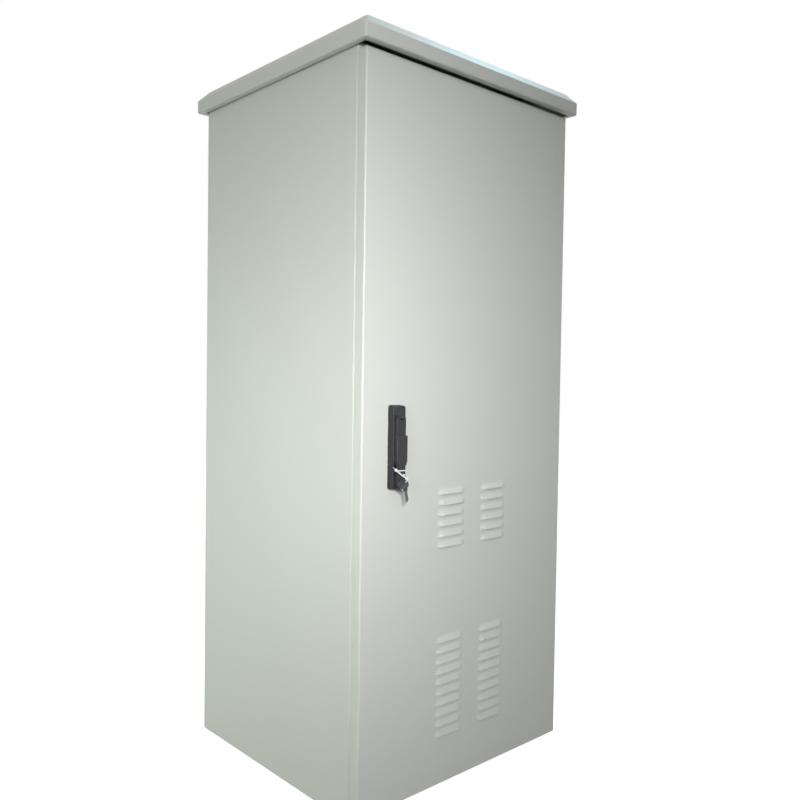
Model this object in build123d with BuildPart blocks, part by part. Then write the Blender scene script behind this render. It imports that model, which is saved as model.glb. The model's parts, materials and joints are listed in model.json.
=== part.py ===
"""Roadside utility cabinet: a free-standing sheet-steel enclosure with one full-height door.

Millimetres, +Z up, the door faces -Y. The origin is on the ground, at the centre of the four
anchor holes. Every sub-part is written as its own STEP file in parts/.
"""

import os
from math import acos, atan2, cos, pi, radians, sin, tan

from build123d import *

os.makedirs("parts", exist_ok=True)

# Driving sizes of the enclosure
width = 700
carcass_depth = 646
carcass_height = 1703.5
sheet = 1.5
bend = 3

# Door: a folded tray that stands a gasket gap in front of the carcass, deeper on its free side
door_gap = 9
door_depth = 20
door_foot = 16
free_gap = 1.5
door_head_gap = 6.5

# Roof cap: fascia, bevelled edge and an inward drip return
eaves_drop = 9
fascia_height = 32
bevel_rise = 24
bevel_inset = 22
overhang = 21.5
roof_corner = 7
roof_bend = 4
drip_gap = 2

# Base frame and anchor holes
base_height = 50
base_sheet = 3
base_flange = 70
anchor_in = 50
anchor_back = 53
anchor_hole = 18

# Door opening in the front frame, with the lip that presses into the gasket
opening_margin = 40
opening_sill = 62
opening_head_margin = 63.5
lip_reach = 15

# Louvres: two upper and two lower columns
louvre_pitch = 25
louvre_width = 94
louvre_height = 17
louvre_proud = 6
louvre_x = 74
louvre_offset = 3.7
upper_lip = 710.5
upper_count = 6
lower_lip = 358.5
lower_count = 10

# Handle
handle_in = 94.5
handle_low = 736
handle_tall = 188
handle_width = 40
handle_proud = 16.5
spindle_down = 27
barrel_up = 12
screw_up = 16
screw_down = 12
disc_deep = 6
shaft_radius = 6
square = 8.5
lever_back = 3.4
lever_pin_radius = 1.8

# Rack and pinion that drives the two lock rods
gear_module = 2.5
gear_teeth = 10
gear_thick = 6
pressure = radians(20)
backlash = 0.5
rod_width = 12
rod_thick = 5
rod_short = 1.5
keeper_reach = 12

# Hinges
hinge_pin_in = 12
hinge_pin_back = 10
hinge_end = 244
hinge_names = ("lower", "middle", "upper")
pin_radius = 3
pin_gap = 0.06

# Equipment rails
rail_face = 224.5
rail_hole_x = 232.55
rail_foot = 100
rail_head_gap = 110
unit = 44.45
rail_hole = 9.5
front_rail_in = 78
rear_rail_in = 108
bar_low = 150
bar_down = 158.5
bar_names = ("lower", "middle", "upper")

# Fans
fan_size = 119
fan_deep = 38
fan_x = 110

# Places worked out from the driving sizes
eaves = carcass_height - eaves_drop
door_head = eaves - door_head_gap
opening_half = width / 2 - opening_margin
opening_head = carcass_height - opening_head_margin
handle_x = -width / 2 + handle_in
handle_high = handle_low + handle_tall
spindle_z = handle_high - spindle_down
barrel_z = handle_low + barrel_up
handle_screw_z = (handle_low + screw_up, handle_high - screw_down)
rod_top = opening_head - keeper_reach - rod_short
rod_bottom = opening_sill + keeper_reach + rod_short
hinge_heights = (door_foot + hinge_end, (door_foot + door_head) / 2, door_head - hinge_end)
bar_high = carcass_height - bar_down
bar_heights = (bar_low, (bar_low + bar_high) / 2, bar_high)
front_y = -carcass_depth / 2
rear_y = carcass_depth / 2
anchor_x = width - 2 * anchor_in
anchor_y = carcass_depth - 2 * anchor_back
front_rail_y = front_y + front_rail_in
rear_rail_y = rear_y - rear_rail_in
rail_units = int((carcass_height - rail_head_gap - rail_foot) / unit)
inner_front = front_y + sheet
inner_rear = rear_y - sheet
inner_half = width / 2 - sheet
door_back = front_y - door_gap
door_face = door_back - door_depth
free_back = front_y - free_gap
door_inner = door_face + sheet
handle_face = door_face - handle_proud
fascia_top = eaves + fascia_height
roof_top = fascia_top + bevel_rise
roof_half = width / 2 + overhang
roof_front = door_face - overhang
roof_rear = rear_y + overhang
lip_front = front_y - lip_reach
deck = carcass_height - sheet
plate_back = door_inner + 16.5


def folded_sheet(plane, points, radius=bend - sheet / 2):
    """Section of a folded sheet: its middle line, rounded at the bends, given the sheet's width."""
    with BuildSketch(plane) as section:
        with BuildLine():
            FilletPolyline(*points, radius=radius)
        trace(line_width=sheet)
    return section.sketch


# Base frame: a ring of channels with an anchor hole in each corner of its bottom flange
base_x = 2 * inner_half
base_y = carcass_depth - 2 * sheet
base_shelf = 30

with BuildPart() as base_frame:
    with BuildSketch(Plane.XY):
        RectangleRounded(base_x, base_y, bend)
        Rectangle(base_x - 2 * base_flange, base_y - 2 * base_flange, mode=Mode.SUBTRACT)
        with GridLocations(anchor_x, anchor_y, 2, 2):
            Circle(anchor_hole / 2, mode=Mode.SUBTRACT)
    extrude(amount=base_sheet)
    with BuildSketch(Plane.XY):
        RectangleRounded(base_x, base_y, bend)
        Rectangle(base_x - 2 * base_sheet, base_y - 2 * base_sheet, mode=Mode.SUBTRACT)
    extrude(amount=base_height)
    with BuildSketch(Plane.XY.offset(base_height - base_sheet)):
        RectangleRounded(base_x, base_y, bend)
        Rectangle(base_x - 2 * base_shelf, base_y - 2 * base_shelf, mode=Mode.SUBTRACT)
    extrude(amount=base_sheet)
base_frame.part.label = "base_frame"
export_step(base_frame.part, "parts/base_frame.step")

# Gland plate: closes the base, with four round cable entries near the back
frame_return = 15
gland_sheet = 2
entry_radius = 25
entry_pitch = 150
entry_y = rear_y - 153
plate_x = width - 20
plate_y = 2 * (rear_y - sheet - sheet - frame_return - sheet)

with BuildPart() as gland_plate:
    with BuildSketch(Plane.XY.offset(base_height)):
        RectangleRounded(plate_x, plate_y, 4)
        with Locations((0, entry_y)):
            with GridLocations(entry_pitch, entry_pitch, 4, 1):
                Circle(entry_radius, mode=Mode.SUBTRACT)
    extrude(amount=gland_sheet)
gland_plate.part.label = "gland_plate"
export_step(gland_plate.part, "parts/gland_plate.step")

# Cable grommets: rubber rings with a thin membrane, grooved round the edge of each entry
groove_gap = 0.1
with BuildPart() as cable_grommets:
    with Locations((0, entry_y, base_height)):
        with GridLocations(entry_pitch, entry_pitch, 4, 1):
            with Locations((0, 0, -3)):
                Cylinder(entry_radius + 3, 3, align=(Align.CENTER, Align.CENTER, Align.MIN))
            Cylinder(entry_radius - groove_gap, gland_sheet,
                     align=(Align.CENTER, Align.CENTER, Align.MIN))
            with Locations((0, 0, gland_sheet)):
                Cone(entry_radius + 3, entry_radius - 4, 4,
                     align=(Align.CENTER, Align.CENTER, Align.MIN))
            with Locations((0, 0, -3)):
                Cylinder(entry_radius - 6, 9 - 1.5, mode=Mode.SUBTRACT,
                         align=(Align.CENTER, Align.CENTER, Align.MIN))
cable_grommets.part.label = "cable_grommets"
export_step(cable_grommets.part, "parts/cable_grommets.step")

# Side panels: one sheet each, folded inward at the front and at the back
panel_foot = 2
front_return = 30
rear_return = 25

for side, name in ((-1, "left_side_panel"), (1, "right_side_panel")):
    wall = side * (width / 2 - sheet / 2)
    section = folded_sheet(Plane.XY.offset(panel_foot), (
        (side * (width / 2 - front_return), front_y + sheet / 2),
        (wall, front_y + sheet / 2),
        (wall, rear_y - sheet / 2),
        (side * (width / 2 - rear_return), rear_y - sheet / 2),
    ))
    with BuildPart() as side_panel:
        extrude(section, amount=carcass_height - panel_foot)
    side_panel.part.label = name
    export_step(side_panel.part, f"parts/{name}.step")

# Front frame: flange behind the side returns, a lip forward round the opening, an edge turned back
frame_back = inner_front + sheet
frame_middle = (base_height + deck) / 2
frame_height = deck - base_height
opening_middle = (opening_sill + opening_head) / 2
opening_height = opening_head - opening_sill

with BuildPart() as front_frame:
    with BuildSketch(Plane.XZ.offset(-frame_back)):
        with Locations((0, frame_middle)):
            Rectangle(2 * inner_half, frame_height)
        with Locations((0, opening_middle)):
            Rectangle(2 * opening_half, opening_height, mode=Mode.SUBTRACT)
    extrude(amount=sheet)
    with BuildSketch(Plane.XZ.offset(-frame_back)):
        with Locations((0, opening_middle)):
            Rectangle(2 * (opening_half + sheet), opening_height + 2 * sheet)
            Rectangle(2 * opening_half, opening_height, mode=Mode.SUBTRACT)
    extrude(amount=frame_back - lip_front)
    with BuildSketch(Plane.XZ.offset(-frame_back - frame_return)):
        with Locations((0, frame_middle)):
            Rectangle(2 * inner_half, frame_height)
            Rectangle(2 * (inner_half - sheet), frame_height - 2 * sheet, mode=Mode.SUBTRACT)
    extrude(amount=frame_return)
    outer_corners = front_frame.edges().filter_by(Axis.Z).filter_by(
        lambda edge: abs(abs(edge.center().X) - inner_half) < 0.01
        and abs(edge.center().Y - inner_front) < 0.01)
    fillet(outer_corners, sheet + 0.1)
front_frame.part.label = "front_frame"
export_step(front_frame.part, "parts/front_frame.step")

# Rear panel: laps the side returns from inside, folded forward at its head and foot
rear_half = inner_half - sheet
rear_inner = inner_rear - sheet
section = folded_sheet(Plane.YZ.offset(-rear_half), (
    (rear_inner - frame_return, base_height + sheet / 2),
    (inner_rear - sheet / 2, base_height + sheet / 2),
    (inner_rear - sheet / 2, deck - sheet / 2),
    (rear_inner - frame_return, deck - sheet / 2),
))
with BuildPart() as rear_panel:
    extrude(section, amount=2 * rear_half)
rear_panel.part.label = "rear_panel"
export_step(rear_panel.part, "parts/rear_panel.step")

# Top panel: closes the carcass under the roof, with two fan openings and the roof bolt holes
fan_bore = 57
bolt_x = 580
bolt_y = 500
bolt_radius = 4
top_flange = 20

with BuildPart() as top_panel:
    with BuildSketch(Plane.XY.offset(deck)):
        RectangleRounded(base_x, base_y, bend)
        with GridLocations(2 * fan_x, 0, 2, 1):
            Circle(fan_bore, mode=Mode.SUBTRACT)
        with GridLocations(bolt_x, bolt_y, 2, 2):
            Circle(bolt_radius + 0.5, mode=Mode.SUBTRACT)
    extrude(amount=sheet)
    with BuildSketch(Plane.XY.offset(deck)):
        with GridLocations(base_x - sheet, 0, 2, 1):
            Rectangle(sheet, plate_y)
    extrude(amount=-top_flange)
top_panel.part.label = "top_panel"
export_step(top_panel.part, "parts/top_panel.step")

# Roof cap: a hollow block with a bevelled edge, opened below inside its drip return
roof_middle = (roof_front + roof_rear) / 2
roof_deep = roof_rear - roof_front
drip_front = door_face + 2.5
drip_rear = rear_y + drip_gap


def roof_block(skin):
    """Outline of the roof, with every face moved inward by skin."""
    turn = atan2(bevel_inset, bevel_rise)
    lower = fascia_top - skin * tan(turn / 2)
    inset = bevel_inset + skin * tan((pi / 2 - turn) / 2)
    across = 2 * (roof_half - skin)
    deep = roof_deep - 2 * skin
    corner = roof_corner - skin
    with BuildPart() as block:
        with BuildSketch(Plane.XY.offset(eaves + skin)):
            with Locations((0, roof_middle)):
                RectangleRounded(across, deep, corner)
        extrude(amount=lower - eaves - skin)
        fillet(block.faces().sort_by(Axis.Z)[0].edges(), roof_bend - skin)
        with BuildSketch(Plane.XY.offset(lower)):
            with Locations((0, roof_middle)):
                RectangleRounded(across, deep, corner)
        with BuildSketch(Plane.XY.offset(roof_top - skin)):
            with Locations((0, roof_middle)):
                RectangleRounded(across - 2 * (inset - skin), deep - 2 * (inset - skin), corner)
        loft(ruled=True)
    return block.part


with BuildPart() as roof_cap:
    add(roof_block(0))
    add(roof_block(sheet), mode=Mode.SUBTRACT)
    with BuildSketch(Plane.XY.offset(eaves)):
        with Locations((0, (drip_front + drip_rear) / 2)):
            Rectangle(width + 2 * drip_gap, drip_rear - drip_front)
    extrude(amount=sheet, mode=Mode.SUBTRACT)
roof_cap.part.label = "roof_cap"
export_step(roof_cap.part, "parts/roof_cap.step")

# Roof standoffs: threaded posts under the roof sheet, each on a bolt hole of the top panel
standoff_radius = 9
bolt_grip = 28
thread_gap = 0.05

with BuildPart() as roof_standoffs:
    with BuildSketch(Plane.XY.offset(carcass_height)):
        with GridLocations(bolt_x, bolt_y, 2, 2):
            Circle(standoff_radius)
    extrude(amount=roof_top - sheet - carcass_height)
    with BuildSketch(Plane.XY.offset(carcass_height)):
        with GridLocations(bolt_x, bolt_y, 2, 2):
            Circle(bolt_radius + thread_gap)
    extrude(amount=bolt_grip + 2, mode=Mode.SUBTRACT)
roof_standoffs.part.label = "roof_standoffs"
export_step(roof_standoffs.part, "parts/roof_standoffs.step")

# Roof bolts: hexagon heads under the top panel
with BuildPart() as roof_bolts:
    with BuildSketch(Plane.XY.offset(deck)):
        with GridLocations(bolt_x, bolt_y, 2, 2):
            RegularPolygon(7.5, 6)
    extrude(amount=-5.5)
    with BuildSketch(Plane.XY.offset(deck)):
        with GridLocations(bolt_x, bolt_y, 2, 2):
            Circle(bolt_radius)
    extrude(amount=sheet + bolt_grip)
roof_bolts.part.label = "roof_bolts"
export_step(roof_bolts.part, "parts/roof_bolts.step")

# Fans: square housings hung under the top panel, each with a hub on three struts
hub_radius = 20
blade_radius = 53
blade_count = 7
fan_floor = deck - fan_deep
rotor_floor = fan_floor + 6
rotor_deep = 26

for side, name in ((-1, "left"), (1, "right")):
    with BuildPart() as fan_housing:
        with BuildSketch(Plane.XY.offset(fan_floor)):
            with Locations((side * fan_x, 0)):
                RectangleRounded(fan_size, fan_size, 6)
                Circle(fan_bore, mode=Mode.SUBTRACT)
        extrude(amount=fan_deep)
        with BuildSketch(Plane.XY.offset(fan_floor)):
            with Locations((side * fan_x, 0)):
                Circle(hub_radius)
                with PolarLocations((hub_radius + fan_bore) / 2, 3, start_angle=90):
                    Rectangle(fan_bore - hub_radius + 3, 5)
        extrude(amount=4)
        with Locations((side * fan_x, 0, fan_floor)):
            Cylinder(3, rotor_deep, align=(Align.CENTER, Align.CENTER, Align.MIN))
    fan_housing.part.label = f"{name}_fan_housing"
    export_step(fan_housing.part, f"parts/{name}_fan_housing.step")

    # Rotor: a cup over the hub's shaft with seven swept blades
    with BuildPart() as fan_rotor:
        with BuildSketch(Plane.XY.offset(rotor_floor)):
            with Locations((side * fan_x, 0)):
                Circle(hub_radius)
        extrude(amount=rotor_deep)
        with BuildSketch(Plane.XY.offset(rotor_floor)):
            with Locations((side * fan_x, 0)):
                Circle(3 + 0.06)
        extrude(amount=rotor_deep - 5, mode=Mode.SUBTRACT)
        with Locations((side * fan_x, 0, rotor_floor + rotor_deep / 2)):
            with PolarLocations((hub_radius + blade_radius) / 2 - 1, blade_count):
                Box(blade_radius - hub_radius + 2, 24, 1.6, rotation=(38, 0, 0))
    fan_rotor.part.label = f"{name}_fan_rotor"
    export_step(fan_rotor.part, f"parts/{name}_fan_rotor.step")

# Depth bars: channels along each side wall that carry the equipment rails
bar_reach = 30
bar_half = 20
bar_face = inner_half - bar_reach

for side, hand in ((-1, "left"), (1, "right")):
    for height, level in zip(bar_heights, bar_names):
        outer = side * (inner_half - sheet)
        web = side * (bar_face + sheet / 2)
        section = folded_sheet(Plane.XZ.offset(-rear_inner), (
            (outer, height - bar_half + sheet / 2),
            (web, height - bar_half + sheet / 2),
            (web, height + bar_half - sheet / 2),
            (outer, height + bar_half - sheet / 2),
        ))
        with BuildPart() as depth_bar:
            extrude(section, amount=rear_inner - frame_back)
        depth_bar.part.label = f"{hand}_{level}_depth_bar"
        export_step(depth_bar.part, f"parts/{hand}_{level}_depth_bar.step")

# Equipment rails: angles bolted to the depth bars, three square holes a unit at the front
rail_return = 35
rail_height = rail_units * unit
hole_steps = (6.35, 22.225, 38.1)

for side, hand in ((-1, "left"), (1, "right")):
    for place, rail_y, back, steps in (("front", front_rail_y, 1, hole_steps),
                                       ("rear", rear_rail_y, -1, hole_steps[1:2])):
        outer = side * (bar_face - sheet / 2)
        section = folded_sheet(Plane.XY.offset(rail_foot), (
            (side * rail_face, rail_y),
            (outer, rail_y),
            (outer, rail_y + back * rail_return),
        ))
        with BuildPart() as rail:
            extrude(section, amount=rail_height)
            with BuildSketch(Plane.XZ.offset(-rail_y - sheet)):
                for number in range(rail_units):
                    heights = [rail_foot + number * unit + step for step in steps]
                    with Locations(*[(side * rail_hole_x, height) for height in heights]):
                        Rectangle(rail_hole, rail_hole)
            extrude(amount=2 * sheet, mode=Mode.SUBTRACT)
        rail.part.label = f"{place}_{hand}_rail"
        export_step(rail.part, f"parts/{place}_{hand}_rail.step")

# Earth bar: a drilled copper strip on two posts on the gland plate
earth_y = rear_y - 58
earth_length = 240
earth_posts = 200
earth_floor = base_height + gland_sheet
earth_rise = 22

with BuildPart() as earth_supports:
    with BuildSketch(Plane.XY.offset(earth_floor)):
        with Locations((0, earth_y)):
            with GridLocations(earth_posts, 0, 2, 1):
                RegularPolygon(9, 6)
    extrude(amount=earth_rise)
earth_supports.part.label = "earth_supports"
export_step(earth_supports.part, "parts/earth_supports.step")

with BuildPart() as earth_bar:
    with BuildSketch(Plane.XY.offset(earth_floor + earth_rise)):
        with Locations((0, earth_y)):
            Rectangle(earth_length, 25)
            with GridLocations(28, 0, 6, 1):
                Circle(3.3, mode=Mode.SUBTRACT)
    extrude(amount=5)
earth_bar.part.label = "earth_bar"
export_step(earth_bar.part, "parts/earth_bar.step")

# Door shell: a folded tray, notched for the hinges, pierced for the handle, pressed into louvres
door_height = door_head - door_foot
door_middle = (door_head + door_foot) / 2
notch_half = 26
louvre_skin = 1.2
louvre_shoulder = 14
lip_heights = [upper_lip - louvre_pitch * n for n in range(upper_count)]
lip_heights += [lower_lip - louvre_pitch * n for n in range(lower_count)]


def hood(skin):
    """Louvre hood standing on the lip line: a curved brow cut to a shape with sloping ends."""
    tall = louvre_height - skin
    proud = louvre_proud - skin
    half = louvre_width / 2 - skin
    flat = louvre_width / 2 - louvre_shoulder
    back = sheet if skin else sheet / 2
    with BuildPart() as form:
        with BuildSketch(Plane.YZ.offset(-half)):
            with BuildLine():
                Line((-proud, 0), (-proud, 2))
                TangentArc((-proud, 2), (0, tall), tangent=(0.12, 1))
                Polyline((0, tall), (back, tall), (back, 0), (-proud, 0))
            make_face()
        extrude(amount=2 * half)
        with BuildSketch(Plane.XY):
            with BuildLine():
                Polyline((half, 0), (half, back), (-half, back), (-half, 0))
                Spline((-half, 0), (-flat, -proud), tangents=((1, -0.35), (1, 0)))
                Line((-flat, -proud), (flat, -proud))
                Spline((flat, -proud), (half, 0), tangents=((1, 0), (1, 0.35)))
            make_face()
        extrude(amount=tall, mode=Mode.INTERSECT)
    return form.part


louvre_places = [(louvre_offset + side * louvre_x, door_face, lip)
                 for side in (-1, 1) for lip in lip_heights]

with BuildPart() as door_shell:
    with BuildSketch(Plane.XZ.offset(-door_back)):
        with Locations((0, door_middle)):
            RectangleRounded(width, door_height, bend)
    extrude(amount=door_depth)
    fillet(door_shell.faces().sort_by(Axis.Y)[0].edges(), bend - 0.1)
    with BuildSketch(Plane.XZ.offset(-door_back)):
        with Locations((0, door_middle)):
            RectangleRounded(width - 2 * sheet, door_height - 2 * sheet, bend - sheet)
    extrude(amount=door_depth - sheet, mode=Mode.SUBTRACT)
    with BuildSketch(Plane.YZ.offset(-width / 2)):
        with Locations(((door_back + free_back) / 2, door_middle)):
            Rectangle(free_back - door_back, door_height - 2 * bend)
    extrude(amount=sheet)
    with Locations(*[(width / 2, door_back, height) for height in hinge_heights]):
        Box(4 * sheet, 2 * (door_depth - sheet), 2 * notch_half, mode=Mode.SUBTRACT)
    with BuildSketch(Plane.XZ.offset(-door_inner)):
        with Locations((handle_x, spindle_z)):
            Circle(9)
        with Locations(*[(handle_x, height) for height in handle_screw_z]):
            Circle(2.75)
    extrude(amount=sheet, mode=Mode.SUBTRACT)
    outer_hood = hood(0)
    inner_hood = hood(louvre_skin)
    with Locations(*louvre_places):
        add(outer_hood)
        add(inner_hood, mode=Mode.SUBTRACT)
door_shell.part.label = "door_shell"
export_step(door_shell.part, "parts/door_shell.step")

# Door gasket: a foam ring that the frame's lip presses on
gasket_half = 6
gasket_gap = 0.3
with BuildPart() as door_gasket:
    with BuildSketch(Plane.XZ.offset(-lip_front + gasket_gap)):
        with Locations((0, opening_middle)):
            RectangleRounded(2 * (opening_half + gasket_half), opening_height + 2 * gasket_half, 10)
            RectangleRounded(2 * (opening_half - gasket_half), opening_height - 2 * gasket_half, 6,
                             mode=Mode.SUBTRACT)
    extrude(amount=lip_front - gasket_gap - door_inner)
door_gasket.part.label = "door_gasket"
export_step(door_gasket.part, "parts/door_gasket.step")

# Door stiffeners: two hat sections welded inside the door, clear of the louvres and the lock
stiffener_end = 65
stiffener_low = door_foot + stiffener_end
stiffener_high = door_head - stiffener_end
stiffener_deep = 15
stiffener_foot = 32
stiffener_top = 18
lock_clear = 79.5
hinge_clear = 130
foot = door_inner + sheet / 2

for centre, name in ((handle_x + lock_clear, "lock_side_stiffener"),
                     (width / 2 - hinge_clear, "hinge_side_stiffener")):
    section = folded_sheet(Plane.XY.offset(stiffener_low), (
        (centre - stiffener_foot, foot), (centre - stiffener_top, foot),
        (centre - stiffener_top, foot + stiffener_deep),
        (centre + stiffener_top, foot + stiffener_deep),
        (centre + stiffener_top, foot), (centre + stiffener_foot, foot),
    ))
    with BuildPart() as stiffener:
        extrude(section, amount=stiffener_high - stiffener_low)
    stiffener.part.label = name
    export_step(stiffener.part, f"parts/{name}.step")

# Dust filters: a holder like a shallow picture frame round each louvre group, with its mat
holder_half = 138
holder_deep = 12
holder_wall = 2
holder_edge = 12
margin = 15

for name, high, count in (("upper", upper_lip, upper_count), ("lower", lower_lip, lower_count)):
    low = high - louvre_pitch * (count - 1)
    middle = (low + high + louvre_height) / 2
    tall = high - low + louvre_height + 2 * margin
    with BuildPart() as filter_holder:
        with BuildSketch(Plane.XZ.offset(-door_inner - holder_deep)):
            with Locations((louvre_offset, middle)):
                RectangleRounded(2 * holder_half, tall, 5)
                Rectangle(2 * (holder_half - holder_edge), tall - 2 * holder_edge,
                          mode=Mode.SUBTRACT)
        extrude(amount=holder_wall)
        with BuildSketch(Plane.XZ.offset(-door_inner - holder_deep)):
            with Locations((louvre_offset, middle)):
                RectangleRounded(2 * holder_half, tall, 5)
                Rectangle(2 * (holder_half - holder_wall), tall - 2 * holder_wall,
                          mode=Mode.SUBTRACT)
        extrude(amount=holder_deep)
    filter_holder.part.label = f"{name}_filter_holder"
    export_step(filter_holder.part, f"parts/{name}_filter_holder.step")

    with BuildPart() as filter_mat:
        with BuildSketch(Plane.XZ.offset(-door_inner - holder_deep + holder_wall)):
            with Locations((louvre_offset, middle)):
                Rectangle(2 * (holder_half - holder_wall), tall - 2 * holder_wall)
        extrude(amount=holder_deep - holder_wall)
    filter_mat.part.label = f"{name}_filter_mat"
    export_step(filter_mat.part, f"parts/{name}_filter_mat.step")

# Hinges: bracket on the frame, leaf inside the door, and a headed pin through their knuckles
pin_x = width / 2 - hinge_pin_in
pin_y = door_face + hinge_pin_back
knuckle = 5
arm_half = 10
bracket_half = 22
leaf_half = 25
leaf_sheet = 2.5
leaf_wide = pin_x - 3 - opening_half - gasket_half - 1
bracket_sheet = 3
head_tall = 3

for height, level in zip(hinge_heights, hinge_names):
    at_pin = Location((pin_x, pin_y, height))
    with BuildPart() as hinge_bracket:
        with BuildSketch(Plane.XY.offset(height - bracket_half)):
            with Locations((pin_x - 5, front_y - bracket_sheet / 2)):
                Rectangle(26, bracket_sheet)
        extrude(amount=2 * bracket_half)
        with BuildSketch(Plane.XY.offset(height - arm_half)):
            with Locations((pin_x - 2.5, (pin_y + front_y) / 2)):
                Rectangle(5, front_y - pin_y)
            with Locations((pin_x, pin_y)):
                Circle(knuckle)
        extrude(amount=2 * arm_half)
        with Locations(at_pin):
            Cylinder(pin_radius + pin_gap, 4 * bracket_half, mode=Mode.SUBTRACT)
    hinge_bracket.part.label = f"{level}_hinge_bracket"
    export_step(hinge_bracket.part, f"parts/{level}_hinge_bracket.step")

    with BuildPart() as hinge_leaf:
        with BuildSketch(Plane.XY.offset(height - leaf_half + head_tall)):
            with Locations((pin_x - 3 - leaf_wide / 2, door_inner + leaf_sheet / 2)):
                Rectangle(leaf_wide, leaf_sheet)
        extrude(amount=2 * (leaf_half - head_tall))
        for start in (-leaf_half + head_tall, arm_half + 0.4):
            with BuildSketch(Plane.XY.offset(height + start)):
                with Locations((pin_x, pin_y)):
                    Circle(knuckle)
                with Locations((pin_x - knuckle / 2 - 1, (pin_y + door_inner) / 2)):
                    Rectangle(knuckle + 2, pin_y - door_inner)
            extrude(amount=leaf_half - head_tall - arm_half - 0.4)
        with Locations(at_pin):
            Cylinder(pin_radius + pin_gap, 4 * leaf_half, mode=Mode.SUBTRACT)
    hinge_leaf.part.label = f"{level}_hinge_leaf"
    export_step(hinge_leaf.part, f"parts/{level}_hinge_leaf.step")

# Hinge pins: headed, one in each hinge
with BuildPart() as hinge_pins:
    for height in hinge_heights:
        for radius, start, tall in ((pin_radius, -leaf_half, 2 * leaf_half - head_tall),
                                    (pin_radius + 1.5, leaf_half - head_tall, head_tall)):
            with BuildSketch(Plane.XY.offset(height + start)):
                with Locations((pin_x, pin_y)):
                    Circle(radius)
            extrude(amount=tall)
hinge_pins.part.label = "hinge_pins"
export_step(hinge_pins.part, "parts/hinge_pins.step")

# Handle base: a hollow moulding with draft, a spindle bore, screw bosses and a finger pocket
handle_middle = (handle_low + handle_high) / 2
draft = 2
disc_radius = 10
pocket_low = handle_low + 30
pocket_high = handle_low + 58.5
pocket_deep = 5

with BuildPart() as handle_base:
    with BuildSketch(Plane.XZ.offset(-door_face)):
        with Locations((handle_x, handle_middle)):
            RectangleRounded(handle_width, handle_tall, 6)
    with BuildSketch(Plane.XZ.offset(-handle_face)):
        with Locations((handle_x, handle_middle)):
            RectangleRounded(handle_width - 2 * draft, handle_tall - 2 * draft, 6)
    loft(ruled=True)
    fillet(handle_base.faces().sort_by(Axis.Y)[0].edges(), 1.5)
    with BuildSketch(Plane.XZ.offset(-door_face)):
        with Locations((handle_x, handle_middle)):
            RectangleRounded(handle_width - 10, handle_tall - 8, 3)
        with Locations((handle_x, spindle_z)):
            Circle(disc_radius + 4, mode=Mode.SUBTRACT)
        with Locations(*[(handle_x, height) for height in handle_screw_z]):
            Circle(6, mode=Mode.SUBTRACT)
    extrude(amount=handle_proud - pocket_deep - 3, mode=Mode.SUBTRACT)
    with BuildSketch(Plane.XZ.offset(-handle_face)):
        with Locations((handle_x, (pocket_low + pocket_high) / 2)):
            Rectangle(handle_width - 2 * draft - 3, pocket_high - pocket_low)
    extrude(amount=-pocket_deep, mode=Mode.SUBTRACT)
    with BuildSketch(Plane.XZ.offset(-handle_face)):
        with Locations((handle_x, spindle_z)):
            Circle(disc_radius + thread_gap)
    extrude(amount=-disc_deep - 0.5, mode=Mode.SUBTRACT)
    with BuildSketch(Plane.XZ.offset(-handle_face)):
        with Locations((handle_x, spindle_z)):
            Circle(shaft_radius + 0.3)
    extrude(amount=-handle_proud, mode=Mode.SUBTRACT)
    with BuildSketch(Plane.XZ.offset(-door_face)):
        with Locations(*[(handle_x, height) for height in handle_screw_z]):
            Circle(2.5 + thread_gap)
    extrude(amount=10, mode=Mode.SUBTRACT)
handle_base.part.label = "handle_base"
export_step(handle_base.part, "parts/handle_base.step")

# Handle screws: from inside the door into the bosses of the handle base
with BuildPart() as handle_screws:
    for height in handle_screw_z:
        with BuildSketch(Plane.XZ.offset(-door_inner)):
            with Locations((handle_x, height)):
                Circle(4.5)
        extrude(amount=-3.5)
        with BuildSketch(Plane.XZ.offset(-door_inner)):
            with Locations((handle_x, height)):
                Circle(2.5)
        extrude(amount=sheet + 9)
handle_screws.part.label = "handle_screws"
export_step(handle_screws.part, "parts/handle_screws.step")

# Spindle: a disc in the base's bore, a tongue for the lever and a shaft with a square end
tongue_half = 5
tongue_radius = 3.5
hinge_y = handle_face - 0.3 - lever_back
gear_front = plate_back + 0.3
gear_back = gear_front + gear_thick

with BuildPart() as spindle:
    with BuildSketch(Plane.XZ.offset(-handle_face)):
        with Locations((handle_x, spindle_z)):
            Circle(disc_radius)
    extrude(amount=-disc_deep)
    with BuildSketch(Plane.XZ.offset(-handle_face)):
        with Locations((handle_x, spindle_z)):
            Circle(shaft_radius)
    extrude(amount=-(gear_front - handle_face))
    with BuildSketch(Plane.XZ.offset(-gear_front)):
        with Locations((handle_x, spindle_z)):
            Rectangle(square, square)
    extrude(amount=-gear_thick)
    with BuildSketch(Plane.YZ.offset(handle_x - tongue_half)):
        with Locations((hinge_y, spindle_z)):
            Circle(tongue_radius)
        with Locations(((hinge_y + handle_face) / 2, spindle_z)):
            Rectangle(handle_face - hinge_y, 2 * tongue_radius)
    extrude(amount=2 * tongue_half)
    with Locations((handle_x, hinge_y, spindle_z)):
        Cylinder(lever_pin_radius + thread_gap, 4 * tongue_half, rotation=(0, 90, 0),
                 mode=Mode.SUBTRACT)
    with BuildSketch(Plane.XZ.offset(-gear_back)):
        with Locations((handle_x, spindle_z)):
            Circle(2.5)
    extrude(amount=13, mode=Mode.SUBTRACT)
spindle.part.label = "spindle"
export_step(spindle.part, "parts/spindle.step")

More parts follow.
